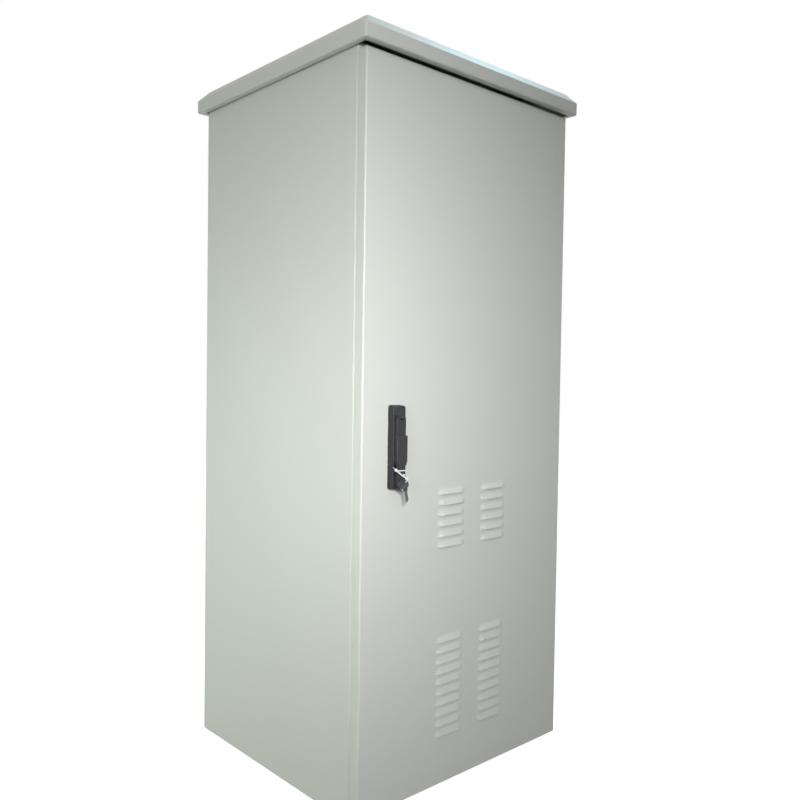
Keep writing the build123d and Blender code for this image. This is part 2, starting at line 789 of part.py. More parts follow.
# Handle lever: a slot behind its head for the tongue, a neck, a prouder grip and a lock boss
lever_rear = handle_face - 0.3
neck_width = 24
neck_deep = 8.2
neck_front = lever_rear - neck_deep
grip_width = 30
grip_low = handle_low + 54
grip_high = handle_high - 67.5
grip_front = handle_face - 11
boss_radius = 13
boss_front = handle_face - 10.5
barrel_radius = 9
fork_gap = 0.2
tie_low = handle_low + 34
tie_high = handle_low + 53
tie_relief = 2

with BuildPart() as handle_lever:
    with BuildSketch(Plane.XZ.offset(-lever_rear)):
        with Locations((handle_x, (barrel_z + spindle_z + lever_back) / 2)):
            Rectangle(neck_width, spindle_z + lever_back - barrel_z)
    extrude(amount=neck_deep)
    crown = handle_lever.faces().sort_by(Axis.Z)[-1].edges().filter_by(Axis.X).sort_by(Axis.Y)
    fillet(crown[-1], lever_back - 0.02)
    chamfer(crown[0], 2)
    neck_sides = handle_lever.faces().sort_by(Axis.Y)[0].edges().filter_by(Axis.Z)
    chamfer(neck_sides, 1)
    with BuildSketch(Plane.XZ.offset(-lever_rear)):
        with Locations((handle_x, (grip_low + grip_high) / 2)):
            RectangleRounded(grip_width, grip_high - grip_low, 2)
    extrude(amount=lever_rear - grip_front)
    chamfer(handle_lever.faces().sort_by(Axis.Y)[0].edges(), 1)
    with BuildSketch(Plane.XZ.offset(-lever_rear)):
        with Locations((handle_x, barrel_z)):
            Circle(boss_radius)
    extrude(amount=lever_rear - boss_front)
    with BuildSketch(Plane.XZ.offset(-lever_rear)):
        with Locations((handle_x, barrel_z)):
            Circle(barrel_radius + thread_gap)
    extrude(amount=lever_rear - boss_front, mode=Mode.SUBTRACT)
    with BuildSketch(Plane.XZ.offset(-lever_rear)):
        with Locations((handle_x, spindle_z)):
            Rectangle(2 * (tongue_half + fork_gap), 2 * tongue_radius + 5)
    extrude(amount=lever_back + tongue_radius + fork_gap, mode=Mode.SUBTRACT)
    with Locations((handle_x, lever_rear, (tie_low + tie_high) / 2)):
        Box(2 * neck_width, 2 * tie_relief, tie_high - tie_low, mode=Mode.SUBTRACT)
    with Locations((handle_x, hinge_y, spindle_z)):
        Cylinder(lever_pin_radius + thread_gap, 2 * neck_width, rotation=(0, 90, 0),
                 mode=Mode.SUBTRACT)
handle_lever.part.label = "handle_lever"
export_step(handle_lever.part, "parts/handle_lever.step")

# Lever pin: through the fork and the tongue
with BuildPart() as lever_pin:
    with Locations((handle_x, hinge_y, spindle_z)):
        Cylinder(lever_pin_radius, neck_width - 0.4, rotation=(0, 90, 0))
lever_pin.part.label = "lever_pin"
export_step(lever_pin.part, "parts/lever_pin.step")

# Lock barrel: turns in the lever's end, with a rim and a keyway
rim_front = boss_front - 3.2
with BuildPart() as lock_barrel:
    with BuildSketch(Plane.XZ.offset(-boss_front + 0.2)):
        with Locations((handle_x, barrel_z)):
            Circle(barrel_radius + 2)
    extrude(amount=boss_front - 0.2 - rim_front)
    with BuildSketch(Plane.XZ.offset(-boss_front + 0.2)):
        with Locations((handle_x, barrel_z)):
            Circle(barrel_radius)
    extrude(amount=-(lever_rear - boss_front - 1))
    with BuildSketch(Plane.XZ.offset(-rim_front)):
        with Locations((handle_x, barrel_z)):
            SlotOverall(9, 2.2, rotation=90)
    extrude(amount=-6, mode=Mode.SUBTRACT)
lock_barrel.part.label = "lock_barrel"
export_step(lock_barrel.part, "parts/lock_barrel.step")

# Key: a notched blade moulded into a round bow with a hole, hanging a little aslant
key_lean = radians(9)
key_turn = radians(28)
key_left = 4.3
key_above = 1.9
bow_wide = 12.2
bow_tall = 10.5
bow_thick = 4
bow_middle = rim_front - 5.8
ring_radius = 3.6
ring_wire = 0.8
ring_out = 11.9
hole_out = 8.2
hole_radius = 2
hole_turn = radians(39)
blade_width = 6.5
blade_length = 40
blade_right = 3
across = Vector(cos(key_turn), -sin(key_turn), 0)
bow_plane = Plane((handle_x - key_left, bow_middle, barrel_z + key_above),
                  x_dir=across * cos(key_lean) + Vector(0, 0, 1) * sin(key_lean),
                  z_dir=(-sin(key_turn), -cos(key_turn), 0))

with BuildPart() as key_blade:
    with BuildSketch(bow_plane):
        with BuildLine():
            right, left = blade_right + blade_width / 2, blade_right - blade_width / 2
            Polyline((left, -6), (right, -6), (right, 5 - blade_length),
                     (right - 2, 3 - blade_length), (right - 3.5, -blade_length),
                     (left + 2, -blade_length), (left, 3 - blade_length),
                     (left + 1.5, 6 - blade_length), (left, 9 - blade_length),
                     (left + 1.2, 13 - blade_length), (left, 16 - blade_length), close=True)
        make_face()
    extrude(amount=1, both=True)
key_blade.part.label = "key_blade"
export_step(key_blade.part, "parts/key_blade.step")

with BuildPart() as key_bow:
    with BuildSketch(bow_plane):
        Ellipse(bow_wide, bow_tall)
        with Locations((blade_right, -bow_tall)):
            Rectangle(blade_width + 3, 6)
        with Locations((hole_out * cos(hole_turn), hole_out * sin(hole_turn))):
            Circle(hole_radius, mode=Mode.SUBTRACT)
    extrude(amount=bow_thick / 2, both=True)
    add(key_blade.part, mode=Mode.SUBTRACT)
key_bow.part.label = "key_bow"
export_step(key_bow.part, "parts/key_bow.step")

# Key tie: a loop round the lever's lower neck, its head, and a strand to the key's bow
tie_lean = radians(-2)
tie_thick = 1.2
tie_width = 2.4
tie_z = (tie_low + tie_high) / 2
head_x, head_y, head_z = 4, 8, 5
loop_x = neck_width / cos(tie_lean) + 1.4
loop_y = (lever_rear - tie_relief) - neck_front + 0.6
loop_middle = (lever_rear - tie_relief + neck_front) / 2
loop_plane = Plane((handle_x, loop_middle, tie_z), x_dir=(cos(tie_lean), 0, sin(tie_lean)),
                   z_dir=(-sin(tie_lean), 0, cos(tie_lean)))
head_at = Vector(handle_x - neck_width / 2 - 3.5, neck_front + 0.5, tie_z + 2.5)
strand_start = head_at - Vector(0, head_y / 2 - tie_thick, 0)


def on_bow(out):
    """Point in the middle of the bow's thickness, at this distance out along the hole's radius."""
    return bow_plane.from_local_coords((out * cos(hole_turn), out * sin(hole_turn), 0))


ring_at = on_bow(ring_out)
strand_end = on_bow(ring_out + ring_radius)
ring_axis = (strand_end - ring_at).cross(bow_plane.z_dir)

with BuildPart() as key_tie:
    with BuildSketch(loop_plane):
        Rectangle(loop_x + 2 * tie_thick, loop_y + 2 * tie_thick)
        Rectangle(loop_x, loop_y, mode=Mode.SUBTRACT)
    extrude(amount=tie_width / 2, both=True)
    with Locations(Location(head_at)):
        Box(head_x, head_y, head_z)
    run = strand_end - strand_start
    with BuildSketch(Plane(strand_start, z_dir=run)):
        Circle(tie_thick)
    extrude(amount=run.length)
    with BuildSketch(Plane(ring_at, z_dir=ring_axis)):
        Circle(ring_radius + ring_wire)
        Circle(ring_radius - ring_wire, mode=Mode.SUBTRACT)
    extrude(amount=ring_wire, both=True)
key_tie.part.label = "key_tie"
export_step(key_tie.part, "parts/key_tie.step")

# Lock plate: a hat bracket inside the door that carries the spindle's inner end
hat_half = 34
hat_foot = 44
hat_reach = 40
hat_low = spindle_z - hat_reach
hat_sheet = 2
foot = door_inner + hat_sheet / 2
with BuildPart() as lock_plate:
    with BuildSketch(Plane.XY.offset(hat_low)):
        with BuildLine():
            FilletPolyline(
                (handle_x - hat_foot, foot), (handle_x - hat_half, foot),
                (handle_x - hat_half, plate_back - hat_sheet / 2),
                (handle_x + hat_half, plate_back - hat_sheet / 2),
                (handle_x + hat_half, foot), (handle_x + hat_foot, foot), radius=2.5)
        trace(line_width=hat_sheet)
    extrude(amount=2 * (spindle_z - hat_low))
    with BuildSketch(Plane.XZ.offset(-plate_back)):
        with Locations((handle_x, spindle_z)):
            Circle(shaft_radius + 0.08)
    extrude(amount=hat_sheet, mode=Mode.SUBTRACT)
lock_plate.part.label = "lock_plate"
export_step(lock_plate.part, "parts/lock_plate.step")

# Pinion: involute teeth, cut thin by half the backlash, on the spindle's square
pitch_radius = gear_module * gear_teeth / 2
base_radius = pitch_radius * cos(pressure)
tip_radius = pitch_radius + gear_module - 0.2
rack_rise = 0.55 * gear_module
rack_fall = gear_module + 0.3
root_radius = pitch_radius - rack_rise - 0.35
tooth_thick = pi * gear_module / 2 - backlash / 2
tooth_pitch = pi * gear_module


def involute(radius):
    """Angle that an involute has unwound by at this radius."""
    slope = tan(pressure) if radius == pitch_radius else None
    angle = pressure if slope else acos(min(1, base_radius / radius))
    return tan(angle) - angle


def tooth_outline(at):
    """Points of one tooth about the angle at, from its right foot to its left foot."""
    half = tooth_thick / 2 / pitch_radius + involute(pitch_radius)
    radii = [base_radius + (tip_radius - base_radius) * n / 4 for n in range(5)]
    flank = [(root_radius, half)] + [(r, half - involute(r)) for r in radii]
    right = [(r, at - angle) for r, angle in flank]
    left = [(r, at + angle) for r, angle in reversed(flank)]
    return [(r * cos(a), r * sin(a)) for r, a in right + left]


with BuildPart() as pinion:
    with BuildSketch(Plane.XZ.offset(-gear_back)):
        with Locations((handle_x, spindle_z)):
            with BuildLine():
                outline = []
                for number in range(gear_teeth):
                    outline += tooth_outline(2 * pi * number / gear_teeth)
                Polyline(*[(handle_x + x, spindle_z + z) for x, z in outline], close=True)
        make_face()
        with Locations((handle_x, spindle_z)):
            Rectangle(square + 0.1, square + 0.1, mode=Mode.SUBTRACT)
    extrude(amount=gear_thick)
pinion.part.label = "pinion"
export_step(pinion.part, "parts/pinion.step")

# Spindle screw: a washer and head that hold the pinion on the square
with BuildPart() as spindle_screw:
    for radius, start, deep in ((8, 0, 1.5), (4.5, 1.5, 4), (2.45, -12, 12)):
        with BuildSketch(Plane.XZ.offset(-gear_back - start)):
            with Locations((handle_x, spindle_z)):
                Circle(radius)
        extrude(amount=-deep)
spindle_screw.part.label = "spindle_screw"
export_step(spindle_screw.part, "parts/spindle_screw.step")

# Lock rods: flat bars with a rack at the pinion and a tapered tip at the far end
rod_front = gear_front + 0.2
rod_tail = 17
tip_taper = 10

for side, name in ((-1, "upper_rod"), (1, "lower_rod")):
    up = -side
    edge = handle_x + side * (pitch_radius + rack_fall)
    far = edge + side * rod_width
    tail = spindle_z - up * rod_tail
    tip = rod_top if up > 0 else rod_bottom
    with BuildPart() as lock_rod:
        with BuildSketch(Plane.XZ.offset(-rod_front - rod_thick)):
            with BuildLine():
                Polyline((edge, tail), (far, tail), (far, tip - up * tip_taper),
                         (far - side * 3, tip), (edge + side * 3, tip),
                         (edge, tip - up * tip_taper), close=True)
            make_face()
            for number in range(-2, 4):
                middle = spindle_z + up * (number + 0.5) * tooth_pitch
                half_tip = tooth_thick / 2 - rack_rise * tan(pressure)
                half_root = tooth_thick / 2 + rack_fall * tan(pressure)
                top = handle_x + side * (pitch_radius - rack_rise)
                with BuildLine():
                    Polyline((edge + side, middle - half_root), (edge, middle - half_root),
                             (top, middle - half_tip), (top, middle + half_tip),
                             (edge, middle + half_root), (edge + side, middle + half_root),
                             close=True)
                make_face()
        extrude(amount=rod_thick)
    lock_rod.part.label = name
    export_step(lock_rod.part, f"parts/{name}.step")

# Rod guides: moulded blocks on the door, slotted for the rods
guide_tall = 16
guide_gap = 0.3
rod_offset = pitch_radius + rack_fall + rod_width / 2
guide_places = ((-1, spindle_z + 93), (-1, rod_top - 41.5),
                (1, spindle_z - 97), (1, rod_bottom + 44.5))

with BuildPart() as rod_guides:
    for side, height in guide_places:
        centre = handle_x + side * rod_offset
        with BuildSketch(Plane.XY.offset(height - guide_tall / 2)):
            with BuildLine():
                Polyline((centre - 18, door_inner), (centre + 18, door_inner),
                         (centre + 18, door_inner + 3), (centre + 10.5, door_inner + 6),
                         (centre + 10.5, rod_front + rod_thick + 3),
                         (centre - 10.5, rod_front + rod_thick + 3),
                         (centre - 10.5, door_inner + 6), (centre - 18, door_inner + 3), close=True)
            make_face()
            with Locations((centre, rod_front + rod_thick / 2)):
                Rectangle(rod_width + 2 * guide_gap, rod_thick + 2 * guide_gap, mode=Mode.SUBTRACT)
        extrude(amount=guide_tall)
rod_guides.part.label = "rod_guides"
export_step(rod_guides.part, "parts/rod_guides.step")

# Keepers: brackets inside the opening's head and sill that the rod tips stop behind
keeper_half = 16
keeper_sheet = 2.7
keeper_front = lip_front + 1

for side, name in ((-1, "upper_keeper"), (1, "lower_keeper")):
    up = -side
    seat = opening_head if up > 0 else opening_sill
    centre = handle_x + side * rod_offset
    with BuildPart() as keeper:
        with BuildSketch(Plane.YZ.offset(centre - keeper_half)):
            with BuildLine():
                Polyline((keeper_front, seat), (front_y - 1, seat),
                         (front_y - 1, seat - up * keeper_sheet),
                         (keeper_front + keeper_sheet, seat - up * keeper_sheet),
                         (keeper_front + keeper_sheet, seat - up * keeper_reach),
                         (keeper_front, seat - up * keeper_reach), close=True)
            make_face()
        extrude(amount=2 * keeper_half)
    keeper.part.label = name
    export_step(keeper.part, f"parts/{name}.step")
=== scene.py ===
"""Looks of a roadside utility cabinet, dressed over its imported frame.

Metres, +Z up, the door faces -Y. Each sub-assembly is a class that holds its sizes and builds its
surfaces with numpy. Pieces that the frame already shapes well keep their mesh and get a finish.
"""

from __future__ import annotations

import json
import logging
import math
from dataclasses import dataclass
from enum import Enum
from typing import Sequence

import bmesh
import bpy
import numpy as np
from mathutils import Matrix, Vector

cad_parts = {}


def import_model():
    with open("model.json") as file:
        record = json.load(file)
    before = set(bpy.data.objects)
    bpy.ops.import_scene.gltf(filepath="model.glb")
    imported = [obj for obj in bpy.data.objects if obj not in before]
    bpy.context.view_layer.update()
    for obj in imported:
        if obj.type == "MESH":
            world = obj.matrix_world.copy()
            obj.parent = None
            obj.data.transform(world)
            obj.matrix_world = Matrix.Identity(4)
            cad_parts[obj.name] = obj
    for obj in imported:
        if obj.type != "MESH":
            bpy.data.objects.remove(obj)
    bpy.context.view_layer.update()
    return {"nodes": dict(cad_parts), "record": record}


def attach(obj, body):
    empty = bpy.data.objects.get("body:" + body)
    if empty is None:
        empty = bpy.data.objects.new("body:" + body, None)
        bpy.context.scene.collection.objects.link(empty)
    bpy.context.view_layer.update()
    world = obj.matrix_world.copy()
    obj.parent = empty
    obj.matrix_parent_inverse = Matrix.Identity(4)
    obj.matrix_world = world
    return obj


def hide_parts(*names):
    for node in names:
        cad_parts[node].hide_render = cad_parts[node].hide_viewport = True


Array = np.ndarray
Object = bpy.types.Object
Node = bpy.types.Node
Socket = bpy.types.NodeSocket
Tree = bpy.types.NodeTree
Size = Array | float
Point = tuple[float, float, float]
Colour = tuple[float, float, float]

log = logging.getLogger("cabinet")

# Points closer than this become one, and edges shorter than this are dissolved.
MERGE_DISTANCE = 1e-6
DEGENERATE_LENGTH = 1e-7
# Edges that turn by more degrees than this stay sharp.
SHARP_ANGLE = 35.0
# How far a cutting shape stands out of the piece that it cuts.
CUT_MARGIN = 0.001
# Angles of a quarter round's points.
QUARTER = np.linspace(0, math.pi / 2, 7)


class Finish(Enum):
    """The finishes of the cabinet's pieces, by the record's slot name.

    The key blade's finish is no slot: its dark grey is painted shade, a colour that stands in for
    the shadow the plated key blade lies in.
    """

    PAINT = "grey_paint"
    PLATED = "plated_steel"
    RUBBER = "black_rubber"
    MOULDING = "black_plastic"
    BLACK_COAT = "black_coat"
    MAT = "filter_mat"
    COPPER = "copper"
    CHROME = "bright_chrome"
    NYLON = "white_nylon"
    PAINTED_SHADE_BLADE = "dull_nickel"


class Axis(Enum):
    """The axis that a stack of outlines rises along, with the two axes of each outline."""

    Y = (1, 0, 2)
    Z = (2, 0, 1)


# ---- numpy surfaces ----


def filleted(points: Sequence[tuple[float, float]], radii: Sequence[float],
             steps: int = 6) -> Array:
    """Polyline with its inner corners rounded, one radius for each, as an (n, 2) array.

    At each corner the arc starts and ends at radius / tan(half the corner's angle) from the
    corner, and its centre is on the bisector at radius / sin(half the angle). Steps is the
    number of chords in each arc.
    """
    corners = np.asarray(points, float)
    line = [corners[0]]
    for before, corner, after, radius in zip(corners, corners[1:], corners[2:], radii):
        first = (before - corner) / np.linalg.norm(before - corner)
        second = (after - corner) / np.linalg.norm(after - corner)
        half = math.acos(float(np.clip(first @ second, -1, 1))) / 2
        bisector = (first + second) / np.linalg.norm(first + second)
        centre = corner + bisector * radius / math.sin(half)
        start = corner + first * radius / math.tan(half) - centre
        end = corner + second * radius / math.tan(half) - centre
        turn = math.atan2(start[0] * end[1] - start[1] * end[0], float(start @ end))
        angles = math.atan2(start[1], start[0]) + np.linspace(0, turn, steps + 1)
        line += list(centre + radius * np.stack([np.cos(angles), np.sin(angles)], 1))
    line.append(corners[-1])
    return np.array(line)


def outlines(half_a: Size, half_b: Size, radius: Size, level: Size, middle: tuple[Size, Size],
             axis: Axis, steps: int = 8) -> Array:
    """Stack of rounded rectangles, as an (outlines, points, 3) array, counter-clockwise.

    A point of each outline is the middle, plus the sign of its quadrant times (half size minus
    radius), plus the radius times the cosine and sine of its angle.

    Args:
        half_a: half size of each outline along its first axis; here and below, one value
            serves all the outlines.
        half_b: half size of each outline along its second axis.
        radius: corner radius of each outline.
        level: place of each outline along the stack's axis.
        middle: centre of the outlines on their two axes.
        axis: the axis that the stack rises along.
        steps: number of chords in each corner.
    """
    quarter = np.linspace(0, math.pi / 2, steps + 1)
    angle = np.concatenate([quarter + n * math.pi / 2 for n in range(4)])
    sign_a = np.repeat([1, -1, -1, 1], steps + 1)
    sign_b = np.repeat([1, 1, -1, -1], steps + 1)
    half_a, half_b, radius, level, middle_a, middle_b = (
        np.atleast_1d(np.asarray(value, float))[:, None]
        for value in np.broadcast_arrays(half_a, half_b, radius, level, *middle))
    points = np.empty((len(level), len(angle), 3))
    up, first, second = axis.value
    points[..., first] = middle_a + sign_a * (half_a - radius) + radius * np.cos(angle)
    points[..., second] = middle_b + sign_b * (half_b - radius) + radius * np.sin(angle)
    points[..., up] = level
    return points


def prism(outline: Array, inset: Array, level: Array, axis: Axis) -> Array:
    """Stack of one closed outline, drawn in toward its middle at each level.

    A point is the outline's middle plus its distance from it times one minus the inset over the
    outline's half size, on each of its two axes. The result is a (rings, n, 3) array.
    """
    lowest, highest = outline.min(0), outline.max(0)
    middle, half = (lowest + highest) / 2, (highest - lowest) / 2
    flat = middle + (outline - middle) * (1 - np.asarray(inset)[:, None, None] / half)
    points = np.empty((*flat.shape[:2], 3))
    up, first, second = axis.value
    points[..., first], points[..., second] = flat[..., 0], flat[..., 1]
    points[..., up] = np.asarray(level)[:, None]
    return points


def tube(path: Array, radius: Size, sides: int) -> Array:
    """Round tube along a path, as rings square to it, in an (n, sides, 3) array.

    Each ring is the path's point plus the radius times (cosine of the angle times the ring's
    first side vector plus sine times its second). The radius is one value or one at each point.
    """
    path = np.asarray(path, float)
    first, second = frame_of(path)
    angle = np.linspace(0, 2 * math.pi, sides, endpoint=False)[None, :, None]
    size = np.broadcast_to(np.asarray(radius, float), (len(path),))[:, None, None]
    return path[:, None] + size * (np.cos(angle) * first[:, None] + np.sin(angle) * second[:, None])


def rounding(edge: float) -> tuple[Array, Array]:
    """Quarter round of a block's front edge, as insets and drops from side to front plane.

    The inset is the edge's radius times one minus the cosine of the turn, and the drop behind
    the front plane is the radius times one minus its sine.
    """
    return edge * (1 - np.cos(QUARTER)), edge * (1 - np.sin(QUARTER))


def block_rings(rear: float, front: float, edge: float, draft: float = 0.0
                ) -> tuple[Array, Array]:
    """Insets and places of a block's rings, from its square rear edge to its rounded front edge.

    Args:
        rear: place of the rear plane.
        front: place of the front plane, which is the lower of the two.
        edge: radius of the front edge's round.
        draft: how far the sides lean in on the way to the front.
    """
    inset, drop = rounding(edge)
    return np.concatenate([[0.0], draft + inset]), np.concatenate([[rear], front + drop])


def span(low: Size, high: Size) -> tuple[Size, Size]:
    """Half size and middle of the stretch from low to high."""
    return (high - low) / 2, (low + high) / 2


def frame_of(path: Array) -> tuple[Array, Array]:
    """Two side vectors at each point of a path, carried along it without twisting.

    They go from point to point by taking away their part along the path.
    """
    along = np.gradient(path, axis=0)
    along /= np.linalg.norm(along, axis=1, keepdims=True)
    side = np.cross(along[0], (0.0, 0.0, 1.0) if abs(along[0][2]) < 0.9 else (1.0, 0.0, 0.0))
    first = []
    for direction in along:
        side = side - direction * (side @ direction)
        side /= np.linalg.norm(side)
        first.append(side)
    return np.array(first), np.cross(along, np.array(first))


class Shell:
    """Gathers the faces of one piece, then makes its mesh."""

    def __init__(self) -> None:
        """Starts with no points and no faces."""
        self.points: list[Array] = []
        self.faces: list[list[int]] = []
        self.count = 0

    def add_grid(self, surface: Array, wrap: bool = False, keep: Array | None = None) -> None:
        """Adds a surface of quads.

        Args:
            surface: grid of points, (rows, columns, 3).
            wrap: whether the last column joins the first.
            keep: which quads to keep; all where left out.
        """
        rows, columns = surface.shape[:2]
        index = np.arange(rows * columns).reshape(rows, columns) + self.count
        if wrap:
            index = np.concatenate([index, index[:, :1]], 1)
        quads = np.stack([index[:-1, :-1], index[:-1, 1:], index[1:, 1:], index[1:, :-1]], -1)
        quads = quads.reshape(-1, 4) if keep is None else quads[keep]
        self.points.append(surface.reshape(-1, 3))
        self.faces += quads.tolist()
        self.count += rows * columns

    def add_cap(self, ring: Array, flip: bool = False) -> None:
        """Closes a ring with one flat face, which looks the other way where flipped."""
        index = list(range(self.count, self.count + len(ring)))
        self.points.append(ring)
        self.faces.append(index[::-1] if flip else index)
        self.count += len(ring)

    def add_stack(self, rings: Array) -> None:
        """Adds a closed shape from a stack of rings, with a flat face at each end."""
        self.add_grid(rings, wrap=True)
        self.add_cap(rings[0], flip=True)
        self.add_cap(rings[-1])

    def piece(self, name: str, closed: bool = False) -> Object:
        """Makes the mesh and its object. A closed surface has its normals turned outward."""
        mesh = bpy.data.meshes.new(name)
        mesh.from_pydata(np.concatenate(self.points), [], self.faces)
        mesh.validate()
        sheet = bmesh.new()
        sheet.from_mesh(mesh)
        bmesh.ops.remove_doubles(sheet, verts=sheet.verts, dist=MERGE_DISTANCE)
        bmesh.ops.dissolve_degenerate(sheet, edges=sheet.edges, dist=DEGENERATE_LENGTH)
        if closed:
            bmesh.ops.recalc_face_normals(sheet, faces=sheet.faces)
        sheet.to_mesh(mesh)
        sheet.free()
        return linked(name, mesh)


def linked(name: str, data: bpy.types.ID) -> Object:
    """Makes an object of a mesh, lamp or camera and links it to the scene."""
    made = bpy.data.objects.new(name, data)
    bpy.context.scene.collection.objects.link(made)
    return made


def settle(piece: Object, angle: float = SHARP_ANGLE) -> Object:
    """Applies the piece's modifiers and shades it smooth, with sharp edges past an angle."""
    graph = bpy.context.evaluated_depsgraph_get()
    mesh = bpy.data.meshes.new_from_object(piece.evaluated_get(graph), depsgraph=graph)
    mesh.name = piece.name
    piece.modifiers.clear()
    piece.data = mesh
    mesh.shade_smooth()
    mesh.set_sharp_from_angle(angle=math.radians(angle))
    return piece


def stacked(name: str, rings: Array) -> Object:
    """Makes a closed piece from a stack of rings."""
    shell = Shell()
    shell.add_stack(rings)
    return shell.piece(name, closed=True)


def disc(name: str, middle: tuple[float, float], radius: Size, level: Array,
         steps: int = 12) -> Object:
    """Makes a round shape along the depth axis, with one radius or one for each level."""
    return stacked(name, outlines(radius, radius, radius, level, middle, Axis.Y, steps))


def carve(piece: Object, joined: Sequence[Object] = (), cut: Sequence[Object] = (),
          angle: float = SHARP_ANGLE) -> Object:
    """Joins closed shapes to a piece, cuts others out of it, and finishes its shading.

    The shapes that are joined or cut are used up.
    """
    for operation, tools in (("UNION", joined), ("DIFFERENCE", cut)):
        for tool in tools:
            step = piece.modifiers.new(tool.name, "BOOLEAN")
            step.operation = operation
            step.solver = "EXACT"
            step.object = tool
    settle(piece, angle)
    for tool in (*joined, *cut):
        bpy.data.objects.remove(tool)
    return piece


def thicken(piece: Object, sheet: float) -> Object:
    """Gives an outer surface its sheet thickness, inward."""
    wall = piece.modifiers.new("sheet", "SOLIDIFY")
    wall.thickness = sheet
    wall.offset = -1
    wall.use_even_offset = True
    return piece


# ---- finishes ----


FINER_GRAIN = 4.0
FINE_SHARE = 0.35
MEAN_GRAIN = 0.5 * (1 + FINE_SHARE)
BUMP_DEPTH = 0.0003
BRUSHED_STRETCH = (1.0, 1.0, 0.08)
# The dust's mask is its start, less the height over its reach and a share of a noise.
DUST_START = 1.1
DUST_PATCHES = 0.5
DUST_SCALE = 9.0


class NodeSheet:
    """Short ways to place and join shader nodes in one tree."""

    def __init__(self, tree: Tree) -> None:
        """Keeps the tree that the nodes go into."""
        self.tree = tree

    def feed(self, target: Socket, value: object) -> None:
        """Gives an input its constant, or links it to an output."""
        if isinstance(value, Socket):
            self.tree.links.new(value, target)
        else:
            target.default_value = value

    def add(self, kind: str, inputs: dict[str | int, object] | None = None,
            **settings: object) -> Node:
        """Adds a node, sets its properties and feeds its inputs.

        Args:
            kind: the node's type, without its ShaderNode prefix.
            inputs: a constant or an output for each input, by the input's name or number.
            **settings: properties of the node by name.
        """
        node = self.tree.nodes.new(kind if kind.startswith("Node") else "ShaderNode" + kind)
        for name, value in settings.items():
            setattr(node, name, value)
        for key, value in (inputs or {}).items():
            self.feed(node.inputs[key], value)
        return node

    def sum(self, operation: str, *values: object, clamp: bool = False) -> Socket:
        """Adds a Math node on constants or outputs, held between none and one where clamped."""
        node = self.add("Math", dict(enumerate(values)), operation=operation, use_clamp=clamp)
        return node.outputs[0]

    def noise(self, vector: Socket, scale: object, detail: float,
              roughness: float = 0.5) -> Socket:
        """Adds a Noise Texture, read at the vector, and gives its factor."""
        node = self.add("TexNoise", {"Vector": vector, "Scale": scale, "Detail": detail,
                                     "Roughness": roughness})
        return node.outputs[0]

    def mix(self, share: Socket, first: object, second: object) -> Socket:
        """Adds a colour mix: the first colour where the share is none, the second where one."""
        return self.add("MixRGB", {0: share, 1: first, 2: second}).outputs[0]


class EffectGroups:
    """Shader node groups that more than one finish uses, each built once."""

    def __init__(self) -> None:
        """Builds the groups."""
        self.texture = self._texture()
        self.tint = self._tint()
        self.grime = self._grime()

    @staticmethod
    def _group(name: str, inputs: dict[str, str], outputs: dict[str, str]
               ) -> tuple[NodeSheet, list[Socket], Node]:
        """Starts a group, from its socket types by name.

        Returns:
            A sheet for the group, what comes in at each of its inputs, and its output node.
        """
        tree = bpy.data.node_groups.new(name, "ShaderNodeTree")
        for way, sockets in (("INPUT", inputs), ("OUTPUT", outputs)):
            for label, kind in sockets.items():
                tree.interface.new_socket(label, in_out=way, socket_type="NodeSocket" + kind)
        sheet = NodeSheet(tree)
        start = sheet.add("NodeGroupInput")
        return sheet, [start.outputs[label] for label in inputs], sheet.add("NodeGroupOutput")

    def _texture(self) -> Tree:
        """Fine surface texture: two noises, one much finer, as a height and a normal."""
        sheet, (place, scale, strength), end = self._group(
            "surface_texture", {"Vector": "Vector", "Scale": "Float", "Strength": "Float"},
            {"Height": "Float", "Normal": "Vector"})
        coarse = sheet.noise(place, scale, 2.0)
        fine = sheet.noise(place, sheet.sum("MULTIPLY", scale, FINER_GRAIN), 2.0)
        height = sheet.sum("MULTIPLY_ADD", fine, FINE_SHARE, coarse)
        bump = sheet.add("Bump", {"Strength": strength, "Distance": BUMP_DEPTH, "Height": height})
        sheet.feed(end.inputs["Height"], height)
        sheet.feed(end.inputs["Normal"], bump.outputs["Normal"])
        return sheet.tree

    def _tint(self) -> Tree:
        """Slow change between two near colours, as a large noise spreads over the surface."""
        sheet, (place, scale, first, second), end = self._group(
            "slow_tint",
            {"Vector": "Vector", "Scale": "Float", "First": "Color", "Second": "Color"},
            {"Color": "Color"})
        sheet.feed(end.inputs["Color"], sheet.mix(sheet.noise(place, scale, 3.0), first, second))
        return sheet.tree

    def _grime(self) -> Tree:
        """Dust mask: one at the ground, none above Reach, broken up by a noise."""
        sheet, (place, reach, amount), end = self._group(
            "ground_grime", {"Vector": "Vector", "Reach": "Float", "Amount": "Float"},
            {"Mask": "Float"})
        rise = sheet.sum("DIVIDE", sheet.add("SeparateXYZ", {0: place}).outputs["Z"], reach)
        patch = sheet.sum("MULTIPLY", sheet.noise(place, DUST_SCALE, 4.0, 0.6), DUST_PATCHES)
        low = sheet.sum("SUBTRACT", DUST_START, sheet.sum("ADD", rise, patch))
        sheet.feed(end.inputs["Mask"], sheet.sum("MULTIPLY", low, amount, clamp=True))
        return sheet.tree


def new_material(name: str) -> tuple[bpy.types.Material, NodeSheet, Node]:
    """Makes a material, with a sheet for its nodes and its shader node."""
    material = bpy.data.materials.new(name)
    material.use_nodes = True
    tree = material.node_tree
    return material, NodeSheet(tree), tree.nodes["Principled BSDF"]


